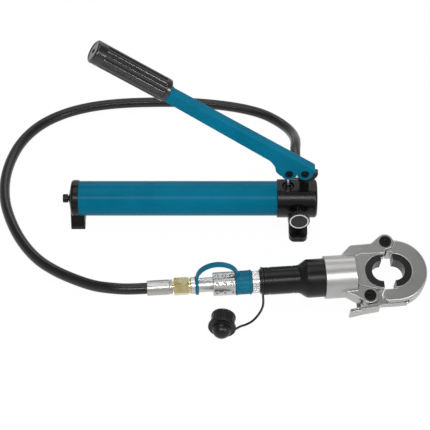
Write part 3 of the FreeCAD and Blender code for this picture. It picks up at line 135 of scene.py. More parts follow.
def surface_grain_group():
    """Fine even grain with slow patches: a value for tone and a bumped normal."""
    group, start, stop = new_group("surface grain", [
        ("Vector", "NodeSocketVector", None), ("Scale", "NodeSocketFloat", 900.0),
        ("Patches", "NodeSocketFloat", 30.0), ("Depth", "NodeSocketFloat", 0.00005),
        ("Strength", "NodeSocketFloat", 0.4)],
        [("Grain", "NodeSocketFloat"), ("Patch", "NodeSocketFloat"), ("Normal", "NodeSocketVector")])
    nodes, links = group.nodes, group.links
    fine = nodes.new("ShaderNodeTexNoise")
    fine.inputs["Detail"].default_value = 3.0
    fine.inputs["Roughness"].default_value = 0.6
    links.new(start.outputs["Vector"], fine.inputs["Vector"])
    links.new(start.outputs["Scale"], fine.inputs["Scale"])
    slow = nodes.new("ShaderNodeTexNoise")
    slow.inputs["Detail"].default_value = 4.0
    links.new(start.outputs["Vector"], slow.inputs["Vector"])
    links.new(start.outputs["Patches"], slow.inputs["Scale"])
    bump = nodes.new("ShaderNodeBump")
    links.new(start.outputs["Strength"], bump.inputs["Strength"])
    links.new(start.outputs["Depth"], bump.inputs["Distance"])
    links.new(fine.outputs[0], bump.inputs["Height"])
    links.new(fine.outputs[0], stop.inputs["Grain"])
    links.new(slow.outputs[0], stop.inputs["Patch"])
    links.new(bump.outputs["Normal"], stop.inputs["Normal"])
    return group


def brushed_lines_group():
    """Fine scratches all one way, along the vector's X."""
    group, start, stop = new_group("brushed lines", [
        ("Vector", "NodeSocketVector", None), ("Scale", "NodeSocketFloat", 1500.0),
        ("Depth", "NodeSocketFloat", 0.00003), ("Strength", "NodeSocketFloat", 0.35)],
        [("Lines", "NodeSocketFloat"), ("Normal", "NodeSocketVector")])
    nodes, links = group.nodes, group.links
    squeeze = nodes.new("ShaderNodeMapping")
    squeeze.inputs["Scale"].default_value = (0.025, 1.0, 1.0)
    links.new(start.outputs["Vector"], squeeze.inputs["Vector"])
    noise = nodes.new("ShaderNodeTexNoise")
    noise.inputs["Detail"].default_value = 2.0
    noise.inputs["Roughness"].default_value = 0.7
    links.new(squeeze.outputs["Vector"], noise.inputs["Vector"])
    links.new(start.outputs["Scale"], noise.inputs["Scale"])
    bump = nodes.new("ShaderNodeBump")
    links.new(start.outputs["Strength"], bump.inputs["Strength"])
    links.new(start.outputs["Depth"], bump.inputs["Distance"])
    links.new(noise.outputs[0], bump.inputs["Height"])
    links.new(noise.outputs[0], stop.inputs["Lines"])
    links.new(bump.outputs["Normal"], stop.inputs["Normal"])
    return group


EDGE_WEAR_AND_SHINE = edge_wear_and_shine_group()
SURFACE_GRAIN = surface_grain_group()
BRUSHED_LINES = brushed_lines_group()


class Finish:
    """A material under construction: its Principled shader and the helpers that feed it."""

    def __init__(self, name, roughness, metallic=0.0, **sockets):
        self.material = bpy.data.materials.new(name)
        self.material.use_nodes = True
        self.nodes = self.material.node_tree.nodes
        self.links = self.material.node_tree.links
        self.shader = self.nodes["Principled BSDF"]
        self.shader.inputs["Roughness"].default_value = roughness
        self.shader.inputs["Metallic"].default_value = metallic
        for label, value in sockets.items():
            self.shader.inputs[label.replace("_", " ")].default_value = value
        self.place = self.nodes.new("ShaderNodeTexCoord").outputs["Object"]

    def turned_place(self, degrees):
        """The Object coordinates turned so that X runs along a piece's own length."""
        mapping = self.nodes.new("ShaderNodeMapping")
        mapping.inputs["Rotation"].default_value = [math.radians(d) for d in degrees]
        self.links.new(self.place, mapping.inputs["Vector"])
        return mapping.outputs["Vector"]

    def group(self, tree, place=None, **values):
        """A shared group, read at the Object coordinates or at a turned place."""
        node = self.nodes.new("ShaderNodeGroup")
        node.node_tree = tree
        self.links.new(self.place if place is None else place, node.inputs["Vector"])
        for label, value in values.items():
            node.inputs[label].default_value = value
        return node

    def ramp(self, value, low, high, out_low, out_high):
        """The value mapped from low..high to out_low..out_high, and held there outside it."""
        node = self.nodes.new("ShaderNodeMapRange")
        node.inputs["From Min"].default_value = low
        node.inputs["From Max"].default_value = high
        node.inputs["To Min"].default_value = out_low
        node.inputs["To Max"].default_value = out_high
        self.links.new(value, node.inputs["Value"])
        return node.outputs["Result"]

    def mixed(self, factor, first, second):
        """Colour between first and second; each is a colour or a socket."""
        node = self.nodes.new("ShaderNodeMix")
        node.data_type = "RGBA"
        self.links.new(factor, node.inputs["Factor"])
        for label, value in (("A", first), ("B", second)):
            socket = [s for s in node.inputs if s.name == label and s.type == "RGBA"][0]
            if isinstance(value, tuple):
                socket.default_value = (*value, 1.0)
            else:
                self.links.new(value, socket)
        return [s for s in node.outputs if s.type == "RGBA"][0]

    def feed(self, label, socket):
        """Link a socket to the shader, and hand back the finish for the next call."""
        self.links.new(socket, self.shader.inputs[label])
        return self


def painted(name, dark, light, primer, roughness, gloss, orange_peel=0.00006):
    """Enamel over metal: slow tone changes, orange peel, worn edges showing the primer."""
    finish = Finish(name, roughness, Specular_IOR_Level=gloss)
    grain = finish.group(SURFACE_GRAIN, Scale=420.0, Patches=14.0, Depth=orange_peel, Strength=0.25)
    tone = finish.ramp(grain.outputs["Patch"], 0.3, 0.7, 0.0, 1.0)
    colour = finish.mixed(tone, dark, light)
    edges = finish.group(EDGE_WEAR_AND_SHINE, Radius=0.0009, Amount=0.5)
    finish.feed("Base Color", finish.mixed(edges.outputs["Mask"], colour, primer))
    rough = finish.ramp(grain.outputs["Patch"], 0.3, 0.7, roughness - 0.05, roughness + 0.07)
    finish.feed("Roughness", rough)
    return finish.feed("Normal", grain.outputs["Normal"]).material


def steel(name, dark, light, rough_low, rough_high, turn=(0, 0, 0), depth=0.00003,
          edge=(0.85, 0.86, 0.87), edge_amount=0.5):
    """Bare or plated steel with brushed lines, slow stains and brighter edges."""
    finish = Finish(name, rough_low, metallic=1.0)
    lines = finish.group(BRUSHED_LINES, finish.turned_place(turn), Scale=1500.0, Depth=depth)
    grain = finish.group(SURFACE_GRAIN, Scale=700.0, Patches=45.0)
    tone = finish.ramp(lines.outputs["Lines"], 0.3, 0.7, 0.0, 1.0)
    colour = finish.mixed(tone, dark, light)
    stained = finish.mixed(finish.ramp(grain.outputs["Patch"], 0.45, 0.75, 0.0, 0.35), colour, dark)
    edges = finish.group(EDGE_WEAR_AND_SHINE, Radius=0.0007, Amount=edge_amount)
    finish.feed("Base Color", finish.mixed(edges.outputs["Mask"], stained, edge))
    finish.feed("Roughness", finish.ramp(grain.outputs["Patch"], 0.3, 0.7, rough_low, rough_high))
    return finish.feed("Normal", lines.outputs["Normal"]).material


def forged(name, dark, light, edge, rough_low, rough_high, depth, wear_and_shine=1.0, width=0.0016):
    """Forging with a blasted grain in its faces and edges that are ground bright; the bright edge colour is partly
    a painted highlight along the rims.
    """
    finish = Finish(name, rough_high, metallic=1.0)
    grain = finish.group(SURFACE_GRAIN, Scale=2600.0, Patches=40.0, Depth=depth, Strength=0.5)
    speck = finish.ramp(grain.outputs["Grain"], 0.36, 0.64, 0.0, 1.0)
    colour = finish.mixed(speck, dark, light)
    stained = finish.mixed(finish.ramp(grain.outputs["Patch"], 0.48, 0.78, 0.0, 0.45), colour, dark)
    # Edge colour: ground bright metal, and partly a painted highlight along the rims
    edges = finish.group(EDGE_WEAR_AND_SHINE, Radius=width, Amount=wear_and_shine, Breakup=60.0)
    finish.feed("Base Color", finish.mixed(edges.outputs["Mask"], stained, edge))
    finish.feed("Roughness", finish.ramp(edges.outputs["Mask"], 0.0, 1.0, rough_high, rough_low))
    return finish.feed("Normal", grain.outputs["Normal"]).material


def plated(name, dark, light, flush, rough_low, rough_high, turn):
    """Zinc plate whose colour drifts between two passivated tints."""
    finish = Finish(name, rough_low, metallic=1.0)
    lines = finish.group(BRUSHED_LINES, finish.turned_place(turn), Scale=1300.0, Depth=0.00002)
    grain = finish.group(SURFACE_GRAIN, Scale=500.0, Patches=95.0)
    tone = finish.ramp(lines.outputs["Lines"], 0.3, 0.7, 0.0, 1.0)
    tint = finish.mixed(finish.ramp(grain.outputs["Patch"], 0.42, 0.62, 0.0, 1.0), light, flush)
    edges = finish.group(EDGE_WEAR_AND_SHINE, Radius=0.0007, Amount=0.6)
    colour = finish.mixed(finish.ramp(tone, 0.0, 1.0, 0.35, 0.0), tint, dark)
    finish.feed("Base Color", finish.mixed(edges.outputs["Mask"], colour, (0.88, 0.84, 0.70)))
    finish.feed("Roughness", finish.ramp(grain.outputs["Patch"], 0.3, 0.7, rough_low, rough_high))
    return finish.feed("Normal", lines.outputs["Normal"]).material


def moulded(name, dark, light, roughness, grain_scale=1400.0, depth=0.00005, gloss=0.2,
            worn=(0.05, 0.05, 0.05), coat=0.0):
    """Rubber or plastic with a fine moulded grain, slow dusty patches and rubbed edges."""
    finish = Finish(name, roughness, Specular_IOR_Level=gloss, Coat_Weight=coat, Coat_Roughness=0.14)
    grain = finish.group(SURFACE_GRAIN, Scale=grain_scale, Patches=38.0, Depth=depth, Strength=0.5)
    tone = finish.ramp(grain.outputs["Patch"], 0.35, 0.7, 0.0, 1.0)
    edges = finish.group(EDGE_WEAR_AND_SHINE, Radius=0.0006, Amount=0.25)
    colour = finish.mixed(tone, dark, light)
    finish.feed("Base Color", finish.mixed(edges.outputs["Mask"], colour, worn))
    rough = finish.ramp(grain.outputs["Grain"], 0.3, 0.7, roughness - 0.06, roughness + 0.08)
    finish.feed("Roughness", rough)
    return finish.feed("Normal", grain.outputs["Normal"]).material


TOOL_TURN = (0.0, 0.0, -math.degrees(math.atan2(TOOL_A.y, TOOL_A.x)))

FINISHES = {
    "teal_paint": painted("teal enamel", (0.0002, 0.113, 0.190), (0.0003, 0.143, 0.240),
                          (0.04, 0.27, 0.35), 0.27, gloss=0.05),
    "black_casting": painted("black enamel", (0.0012, 0.0012, 0.0013), (0.0030, 0.0030, 0.0031),
                             (0.026, 0.026, 0.026), 0.28, gloss=0.25, orange_peel=0.00010),
    "chromed_steel": steel("hard chrome", (0.70, 0.71, 0.73), (0.82, 0.83, 0.85), 0.06, 0.14,
                           turn=(0, 90, 0), depth=0.00001),
    "bright_steel": steel("bright steel", (0.37, 0.368, 0.36), (0.53, 0.528, 0.52), 0.28, 0.40),
    # Forged and die steel: their pale edge colour is partly a painted highlight along the rims
    "forged_steel": forged("forged steel", (0.36, 0.358, 0.353), (0.50, 0.497, 0.49),
                           (0.84, 0.84, 0.83), 0.16, 0.37, depth=0.00005),
    "dark_steel": steel("blackened steel", (0.010, 0.010, 0.011), (0.022, 0.022, 0.023), 0.26, 0.40,
                        edge=(0.16, 0.16, 0.165), edge_amount=0.4),
    "die_steel": forged("die steel", (0.022, 0.022, 0.0225), (0.040, 0.040, 0.041),
                        (0.50, 0.50, 0.51), 0.20, 0.34, depth=0.00004, wear_and_shine=0.8, width=0.0007),
    "plated_nut": plated("yellow zinc plate", (0.33, 0.24, 0.095), (0.68, 0.55, 0.255),
                         (0.66, 0.62, 0.37), 0.20, 0.34, TOOL_TURN),
    "coupler_steel": steel("bright zinc plate", (0.45, 0.45, 0.442), (0.68, 0.68, 0.67), 0.28, 0.40,
                           TOOL_TURN, 0.00002, (0.80, 0.80, 0.79), 0.35),
    "spring_steel": steel("spring steel", (0.10, 0.10, 0.105), (0.20, 0.20, 0.205), 0.3, 0.42),
    "bearing_steel": steel("bearing steel", (0.62, 0.62, 0.64), (0.72, 0.72, 0.74), 0.08, 0.14),
    "hose_rubber": moulded("hose cover", (0.0030, 0.0030, 0.0032), (0.0070, 0.0070, 0.0072), 0.27,
                           900.0, 0.00003, gloss=0.4),
    "grip_rubber": moulded("grip rubber", (0.0020, 0.0020, 0.0021), (0.0050, 0.0050, 0.0051), 0.22,
                           1300.0, 0.000004, gloss=0.6, coat=0.2),
    "seal_rubber": moulded("seal rubber", (0.008, 0.008, 0.008), (0.016, 0.016, 0.016), 0.5),
    "blue_cap": moulded("teal soft plastic", (0.0004, 0.098, 0.168), (0.0007, 0.128, 0.214), 0.38,
                        1200.0, 0.00004, gloss=0.14, worn=(0.01, 0.19, 0.29)),
    "black_cap": moulded("black soft plastic", (0.0025, 0.0025, 0.0026), (0.0060, 0.0060, 0.0062),
                         0.30, gloss=0.3),
    "knob_plastic": moulded("knob plastic", (0.0045, 0.0045, 0.0047), (0.009, 0.009, 0.0095), 0.34,
                            1500.0, 0.00004, gloss=0.35),
    "filter_mesh": steel("sintered bronze", (0.45, 0.30, 0.12), (0.60, 0.44, 0.22), 0.45, 0.6),
}
PRESSED = steel("pressed ferrule", (0.33, 0.325, 0.31), (0.50, 0.49, 0.47), 0.28, 0.40, TOOL_TURN,
                0.00002, (0.80, 0.79, 0.77), 0.35)
KNOB_RING = steel("knob ring foil", (0.60, 0.60, 0.60), (0.78, 0.78, 0.78), 0.2, 0.3)
# Darker copy of the forged steel for the flat faces: blasted grain, and partly painted shade
BLASTED_SHADED_FACE = forged("blasted face with painted shade", (0.20, 0.198, 0.195), (0.31, 0.308, 0.302), (0.84, 0.84, 0.83),
                 0.15, 0.38, depth=0.00006, width=0.0013)

BODIES = frame["record"]["behaviour"]["bodies"]
BODY_OF = {node: body for body, members in BODIES.items() for node in members}
SLOT_OF = {s["node"]: s["material_slot"] for s in frame["record"]["subparts"]}

# The photograph shows the grip's core painted like the lever; the gland nut is given the dark steel
SLOT_OF.update({"grip_core": "teal_paint", "gland_nut": "dark_steel"})

for node_name, node_object in frame["nodes"].items():
    finish_used = FINISHES[SLOT_OF[node_name]]
    if not node_object.material_slots:
        node_object.data.materials.append(finish_used)
    for material_slot in node_object.material_slots:
        material_slot.material = finish_used


# Modelling helpers: every piece is shaped in millimetres in its own frame, then carried to its place

SLACK = 0.02  # two lengths closer than this are the same
WELD = 0.001  # corners closer than this become one


def frame_matrix(origin, x_axis, y_axis, z_axis):
    """Matrix from a piece's own millimetres to the row frame's metres."""
    turn = Matrix((x_axis, y_axis, z_axis)).transposed().to_4x4()
    return Matrix.Translation(origin) @ turn @ Matrix.Scale(MM, 4)


def tool_place(x, y=0.0):
    """A point in the crimping head's middle plane, given in millimetres along and across it."""
    return TOOL_ORIGIN + (TOOL_A * x + TOOL_B * y) * MM


X_AXIS = Vector((1, 0, 0))
Y_AXIS = Vector((0, 1, 0))
Z_AXIS = Vector((0, 0, 1))
PUMP_FRAME = frame_matrix(Vector((0, 0, PUMP_H)), X_AXIS, Y_AXIS, Z_AXIS)
PORT_FRAME = frame_matrix(Vector((0, 0, PUMP_H)), Y_AXIS, Z_AXIS, X_AXIS)
TOOL_FRAME = frame_matrix(TOOL_ORIGIN, TOOL_A, TOOL_B, TOOL_N)
COUPLER_FRAME = frame_matrix(TOOL_ORIGIN, TOOL_A, Z_AXIS.cross(TOOL_A), Z_AXIS)


def near(value, target):
    """Whether two lengths are the same but for rounding errors."""
    return abs(value - target) < SLACK


def tidied(mesh):
    """Weld the seams of a shaped body and turn its faces outward."""
    bmesh.ops.remove_doubles(mesh, verts=mesh.verts, dist=WELD)
    bmesh.ops.recalc_face_normals(mesh, faces=mesh.faces)


def lathe(rings, steps):
    """Turned body about X. Each ring is (x, radius, edge rounding); a wall on the axis is left out."""
    mesh = bmesh.new()
    verts = [mesh.verts.new((x, 0, r)) for x, r, rounding in rings]
    walls = [pair for pair in zip(verts, verts[1:] + verts[:1]) if any(v.co.z > 0 for v in pair)]
    edges = [mesh.edges.new(pair) for pair in walls]
    bmesh.ops.spin(mesh, geom=verts + edges, cent=(0, 0, 0), axis=(1, 0, 0), angle=2 * math.pi,
                   steps=steps, use_merge=True)
    tidied(mesh)
    for x, r, rounding in rings:
        if rounding > 0:
            round_ring(mesh, x, r, rounding)
    return mesh


def hoop(x0, x1, inner, outer, rounding, steps):
    """Plain turned ring or tube, with its outer edges rounded."""
    return lathe([(x0, inner, 0), (x0, outer, rounding), (x1, outer, rounding), (x1, inner, 0)], steps)


def round_edges(mesh, edges, width, segments, clamp=True):
    """Round these edges off."""
    bmesh.ops.bevel(mesh, geom=edges, offset=width, offset_type="OFFSET", segments=segments,
                    profile=0.5, affect="EDGES", clamp_overlap=clamp, material=-1)


def round_ring(mesh, x, r, rounding):
    """Round off the circular edge of a turned body at x and radius r."""
    found = []
    for edge in mesh.edges:
        if all(near(v.co.x, x) and near(math.hypot(v.co.y, v.co.z), r) for v in edge.verts):
            found.append(edge)
    round_edges(mesh, found, rounding, 4)


def soften(mesh, width, sharp, segments, clamp=True):
    """Break every edge sharper than this many degrees with a small rounding."""
    limit = math.radians(sharp)
    found = [e for e in mesh.edges if e.is_manifold and e.calc_face_angle(0.0) > limit]
    round_edges(mesh, found, width, segments, clamp)


def pull_in(mesh, x0, x1, over, count, depth, ease, sharpness=1.0, ribbed=False):
    """Press a ring of lengthwise hollows into a turned body, or round ribs with creases between them."""
    for vert in mesh.verts:
        radius = math.hypot(vert.co.y, vert.co.z)
        if radius < over or not x0 < vert.co.x < x1:
            continue
        angle = math.atan2(vert.co.z, vert.co.y)
        if ribbed:
            wave = 1.0 - abs(math.sin(count * angle / 2)) ** sharpness
        else:
            wave = max(0.0, math.cos(count * angle)) ** sharpness
        end = min(vert.co.x - x0, x1 - vert.co.x, ease) / ease
        scale = 1.0 - depth * wave * math.sqrt(1.0 - (1.0 - end) ** 2) / radius
        vert.co.y *= scale
        vert.co.z *= scale


def add_to(mesh, other):
    """Join a second shaped body to the first."""
    data = bpy.data.meshes.new("joined")
    other.to_mesh(data)
    other.free()
    mesh.from_mesh(data)
    bpy.data.meshes.remove(data)


def finished(name, mesh, place, body, slot, replaced, sharp=35.0, material=None):
    """Carry a shaped mesh to its place and make it a piece of the object."""
    data = bpy.data.meshes.new(name)
    mesh.transform(place)
    mesh.to_mesh(data)
    mesh.free()
    data.shade_smooth()
    data.set_sharp_from_angle(angle=math.radians(sharp))
    data.materials.append(material or FINISHES[slot])
    piece = bpy.data.objects.new(name, data)
    bpy.context.scene.collection.objects.link(piece)
    even = piece.modifiers.new("even shading", "WEIGHTED_NORMAL")
    even.keep_sharp = True
    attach(piece, body)
    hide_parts(*replaced)
    return piece


# Pieces whose own shape is right: their edges are broken as on the real ones

DRAWN_WELD = 0.002  # corners of a node's own triangles closer than this become one
FLAT_DEGREES = 0.6  # triangles that turn less than this from their neighbour become one face
SHORT_EDGE = 0.35  # shorter edges of a forging are joined
CLEAR_X = -40.0  # places further along the head than this are clear of the yoke's barrel
FACE_HEIGHT = 14.0  # flat faces lie within this height of the head's middle plane
FACE_FLATNESS = 0.985  # cosine of the greatest tilt of a flat face

FORGED_EDGES = {"yoke": 1.1, "c_jaw": 1.0, "ram_block": 0.8, "latch": 0.45}

EDGES = {
    "moving_die": 0.3, "fixed_die": 0.3, "jaw_pin": 0.3, "latch_pin": 0.3, "pump_head": 0.6,
    "rear_cap": 0.5, "lever_channel": 0.4, "plunger": 0.4, "gland_nut": 0.3, "swivel_nut": 0.25,
    "outlet_adaptor": 0.25, "plunger_pin": 0.2, "fulcrum_pin": 0.2, "strap_ring": 0.4,
    "coupler_sleeve": 0.25, "knurled_nut": 0.2, "filler_screw": 0.2, "coupler_body": 0.3,
    "lever_clips": 0.1,
}


def merge_short_edges(mesh):
    """Join the tiny edges of a forging ahead of the barrel, where a rounding would fold over them."""
    found = []
    for edge in mesh.edges:
        if all((v.co * MM - TOOL_ORIGIN).dot(TOOL_A) / MM > CLEAR_X for v in edge.verts):
            found.append(edge)
    bmesh.ops.dissolve_degenerate(mesh, dist=SHORT_EDGE, edges=found)


def dressed_copy(node, width, sharp=30.0, segments=2, clamp=True):
    """A node's own shape with its loose triangles merged and its sharp edges broken."""
    mesh = bmesh.new()
    mesh.from_mesh(frame["nodes"][node].data)
    bmesh.ops.scale(mesh, vec=(1 / MM, 1 / MM, 1 / MM), verts=mesh.verts)
    bmesh.ops.remove_doubles(mesh, verts=mesh.verts, dist=DRAWN_WELD)
    bmesh.ops.dissolve_limit(mesh, angle_limit=math.radians(FLAT_DEGREES), verts=mesh.verts,
                             edges=mesh.edges)
    if not clamp:
        merge_short_edges(mesh)
    soften(mesh, width, sharp, segments, clamp)
    return finished(node + "_dressed", mesh, Matrix.Scale(MM, 4), BODY_OF[node], SLOT_OF[node], [node])


def forged_copy(node, width):
    """A forging: rounded edges, and its flat upper and under faces given a darker copy of the forged steel:
    blasted grain, and partly painted shade.
    """
    piece = dressed_copy(node, width, sharp=40.0, segments=3, clamp=False)
    # Flat faces take the darker copy: partly painted shade
    piece.data.materials.append(BLASTED_SHADED_FACE)
    for face in piece.data.polygons:
        height = abs((face.center - TOOL_ORIGIN).dot(TOOL_N)) / MM
        if height < FACE_HEIGHT and abs(face.normal.dot(TOOL_N)) > FACE_FLATNESS:
            face.material_index = 1


for node_name, edge_width in FORGED_EDGES.items():
    forged_copy(node_name, edge_width)
for node_name, edge_width in EDGES.items():
    dressed_copy(node_name, edge_width)


# Turned pieces of the reservoir and the ram

def groove(x, r):
    """Rings of a square turned line, 2 mm wide, in an outside of radius r."""
    return [(x - 1.0, r, 0.2), (x - 1.0, r - 0.6, 0.2), (x + 1.0, r - 0.6, 0.2), (x + 1.0, r, 0.2)]


TUBE_X0, TUBE_X1 = -355.0, -33.3
TUBE_R, TUBE_IN_R = 27.5, 24.5
finished("reservoir_barrel", hoop(TUBE_X0, TUBE_X1, TUBE_IN_R, TUBE_R, 0.4, 160), PUMP_FRAME, "pump",
         "teal_paint", ["reservoir_tube"])

NECK_X0, NECK_X1, BIG_X0, BIG_X1, SPIGOT_X1 = -189.0, -135.7, -124.1, -97.5, -74.5
NECK_R, BIG_R, SPIGOT_R = 20.9, 29.0, 26.0
PORT_X1, PORT_R, PASSAGE_R = NECK_X0 + 12, 10.92, 2.5
BORE_X0, BORE_R = NECK_X1 + 8.5, 20.05
CYLINDER_RINGS = [
    (NECK_X0, PORT_R, 0), (NECK_X0, NECK_R, 1.2), *groove(NECK_X0 + 9, NECK_R),
    *groove(NECK_X1 - 9, NECK_R), (NECK_X1, NECK_R, 3.0), (BIG_X0, BIG_R, 3.0), (BIG_X1, BIG_R, 0.5),
    (BIG_X1, SPIGOT_R, 0), (SPIGOT_X1, SPIGOT_R, 0.8), (SPIGOT_X1, BORE_R, 0), (BORE_X0, BORE_R, 0),
    (BORE_X0, PASSAGE_R, 0), (PORT_X1, PASSAGE_R, 0), (PORT_X1, PORT_R, 0)]
finished("cylinder_turned", lathe(CYLINDER_RINGS, 128), TOOL_FRAME, "pump", SLOT_OF["ram_cylinder"],
         ["ram_cylinder"])


# Hose ends

HOSE_Y0 = 84.0
FERRULE_X0, FERRULE_LEN, FERRULE_R, FERRULE_IN_R = -363.0, 38.0, 11.3, 2.5
PRESS_X0, PRESS_X1 = 4.0, 33.0


def crimped_ferrule():
    """Hose end pressed by eight jaws: shallow flats between its rolled ends."""
    rings = [(0, FERRULE_IN_R, 0), (0, FERRULE_R, 1.0), (3.5, FERRULE_R, 0)]
    rings += [(4.5 + 1.5 * k, FERRULE_R, 0) for k in range(19)]
    rings += [(PRESS_X1, FERRULE_R, 0), (34.0, FERRULE_R - 0.9, 0.2), (35.4, FERRULE_R - 0.9, 0.2),
              (36.0, FERRULE_R, 0.2), (FERRULE_LEN, FERRULE_R, 0.8), (FERRULE_LEN, FERRULE_IN_R, 0)]
    mesh = lathe(rings, 128)
    pull_in(mesh, PRESS_X0, PRESS_X1, over=FERRULE_R - 0.3, count=8, depth=0.25, ease=4.0)
    return mesh


FERRULE_FRAMES = {
    "pump": frame_matrix(Vector((0, HOSE_Y0 * MM, PUMP_H)), -Y_AXIS, X_AXIS, Z_AXIS),
    "tool": frame_matrix(tool_place(FERRULE_X0), TOOL_A, TOOL_B, TOOL_N)}

for hose_end, end_frame in FERRULE_FRAMES.items():
    end_node = "hose_ferrule_" + hose_end
    finished("ferrule_at_" + hose_end, crimped_ferrule(), end_frame, "pump", SLOT_OF[end_node],
             [end_node], material=PRESSED)


# Hand grip and release knob

LEVER_TILT = math.radians(35.5)
LEVER_A = Vector((-math.cos(LEVER_TILT), 0, math.sin(LEVER_TILT)))
LEVER_P = Vector((LEVER_A.z, 0, -LEVER_A.x))
GRIP_ABOVE = 9.0
GRIP_FRAME = frame_matrix(PIVOT + LEVER_P * GRIP_ABOVE * MM, LEVER_A, Y_AXIS, LEVER_A.cross(Y_AXIS))
GRIP_X0, GRIP_X1, GRIP_R, GRIP_IN_R = 264.0, 392.0, 17.8, 10.05
SUNK_X, END_WALL_X, END_HOLE_R = GRIP_X1 - 0.9, GRIP_X1 - 10.0, 2.6
RIBS_X0, RIBS_X1, RIB_EASE = 272.5, 377.0, 4.2


def grip():
    """Rubber grip with round ribs, plain ends and a sunk end face."""
    rings = [(GRIP_X0, GRIP_IN_R, 0), (GRIP_X0, 16.4, 0.6), (GRIP_X0 + 1.2, GRIP_R - 0.2, 0.4),
             (GRIP_X0 + 6.6, GRIP_R, 0), (GRIP_X0 + 7.0, GRIP_R - 0.7, 0.1),
             (GRIP_X0 + 7.8, GRIP_R - 0.7, 0.1), (GRIP_X0 + 8.2, GRIP_R, 0)]
    rings += [(RIBS_X0 + 0.7 * k, GRIP_R, 0) for k in range(7)]
    rings += [(RIBS_X0 + 10.0 + 12.0 * k, GRIP_R, 0) for k in range(8)]
    rings += [(RIBS_X1 - RIB_EASE + 0.7 * k, GRIP_R, 0) for k in range(7)]
    rings += [(GRIP_X1, GRIP_R, 3.5), (GRIP_X1, 13.9, 0.3), (SUNK_X, 13.3, 0.2), (SUNK_X, 4.6, 0.2),
              (GRIP_X1 - 2.0, END_HOLE_R, 0.2), (END_WALL_X, END_HOLE_R, 0), (END_WALL_X, GRIP_IN_R, 0)]
    mesh = lathe(rings, 240)
    pull_in(mesh, RIBS_X0, RIBS_X1, over=GRIP_R - 0.05, count=12, depth=2.0, ease=RIB_EASE, ribbed=True)
    return mesh


finished("grip_fluted", grip(), GRIP_FRAME, "lever", "grip_rubber", ["lever_grip"], 40.0)

KNOB_Y, KNOB_LEN, KNOB_R = -52.0, 8.0, 16.6
KNOB_STEM_R = 4.1


def knob():
    """Release knob with a fluted side and a groove round its face for the bright ring."""
    back = KNOB_Y + KNOB_LEN
    rings = [(KNOB_Y + 0.5, 0, 0), (KNOB_Y + 0.5, 12.9, 0.2), (KNOB_Y + 0.9, 12.9, 0),
             (KNOB_Y + 0.9, 14.9, 0), (KNOB_Y, 15.0, 0.2), (KNOB_Y, 15.6, 0.2), (KNOB_Y + 0.9, KNOB_R, 0.3)]
    rings += [(KNOB_Y + 1.6 + 0.9 * k, KNOB_R, 0) for k in range(7)]
    rings += [(back, 15.8, 0.6), (back, KNOB_STEM_R, 0), (KNOB_Y + 3.0, KNOB_STEM_R, 0),
              (KNOB_Y + 3.0, 0, 0)]
    mesh = lathe(rings, 216)
    pull_in(mesh, KNOB_Y + 1.4, back - 0.3, over=15.9, count=18, depth=0.9, ease=1.2, sharpness=0.8)
    return mesh


finished("knob_fluted", knob(), PORT_FRAME, BODY_OF["release_knob"], "knob_plastic", ["release_knob"], 40.0)
finished("knob_ring", hoop(KNOB_Y + 0.15, KNOB_Y + 1.0, 13.0, 14.8, 0, 120), PORT_FRAME,
         BODY_OF["release_knob"], "bright_steel", ["release_knob"], material=KNOB_RING)


# Dust caps

RING_X0, RING_X1, RING_R, RING_IN_R = -230.6, -206.8, 18.6, 13.05
PANEL_R = RING_R - 0.7
COLLAR_X0, COLLAR_LEN, COLLAR_R, COLLAR_IN_R = -290.6, 4.5, 14.5, 10.93
STRAP_X0, STRAP_X1 = COLLAR_X0 + 0.5, RING_X0 + 5.2
STRAP_TOP, STRAP_FOOT, STRAP_ROOT, STRAP_THICK, STRAP_WIDE = 44.0, 14.0, 9.0, 3.2, 9.0


def blue_cap():
    """Thick panelled ring, the collar that holds it and the arched strap between them."""
    rings = [(RING_X0, RING_IN_R, 0), (RING_X0, RING_R, 0.7), (RING_X0 + 2.6, RING_R, 0.4),
             (RING_X0 + 3.2, PANEL_R, 0)]
    rings += [(RING_X0 + 4.0 + 1.95 * k, PANEL_R, 0) for k in range(9)]
    rings += [(RING_X1 - 3.2, PANEL_R, 0), (RING_X1 - 2.6, RING_R, 0.4), (RING_X1, RING_R, 0.7),
              (RING_X1, RING_IN_R, 0)]
    mesh = lathe(rings, 192)
    pull_in(mesh, RING_X0 + 3.4, RING_X1 - 3.4, over=RING_R - 0.9, count=12, depth=0.6, ease=1.0,
            sharpness=0.35)
    add_to(mesh, hoop(COLLAR_X0, COLLAR_X0 + COLLAR_LEN, COLLAR_IN_R, COLLAR_R, 0.9, 96))
    add_to(mesh, arched_strap())
    return mesh


def arched_strap():
    """Half oval band on straight legs, with its edges rounded."""
    middle = (STRAP_X0 + STRAP_X1) / 2
    reach = (STRAP_X1 - STRAP_X0) / 2
    half = STRAP_WIDE / 2
    inside = STRAP_X0 + STRAP_THICK
    mesh = bmesh.new()
    corners = [(STRAP_X0, -half), (STRAP_X0, half), (inside, half), (inside, -half)]
    section = mesh.faces.new([mesh.verts.new((x, y, STRAP_FOOT)) for x, y in corners])
    bmesh.ops.spin(mesh, geom=[section] + list(section.edges) + list(section.verts),
                   cent=(middle, 0, STRAP_FOOT), axis=(0, 1, 0), angle=math.pi, steps=48)
    for vert in mesh.verts:
        vert.co.z = STRAP_FOOT + (vert.co.z - STRAP_FOOT) * (STRAP_TOP - STRAP_FOOT) / reach
    ends = [face for face in mesh.faces if all(near(v.co.z, STRAP_FOOT) for v in face.verts)]
    legs = bmesh.ops.extrude_face_region(mesh, geom=ends)
    feet = [part for part in legs["geom"] if isinstance(part, bmesh.types.BMVert)]
    bmesh.ops.translate(mesh, vec=(0, 0, STRAP_ROOT - STRAP_FOOT), verts=feet)
    bmesh.ops.delete(mesh, geom=[face for face in ends if face.is_valid], context="FACES_ONLY")
    tidied(mesh)
    soften(mesh, 0.7, 50.0, 3)
    return mesh


finished("dust_cap_and_strap", blue_cap(), COUPLER_FRAME, "pump", "blue_cap", ["blue_dust_cap"], 40.0)

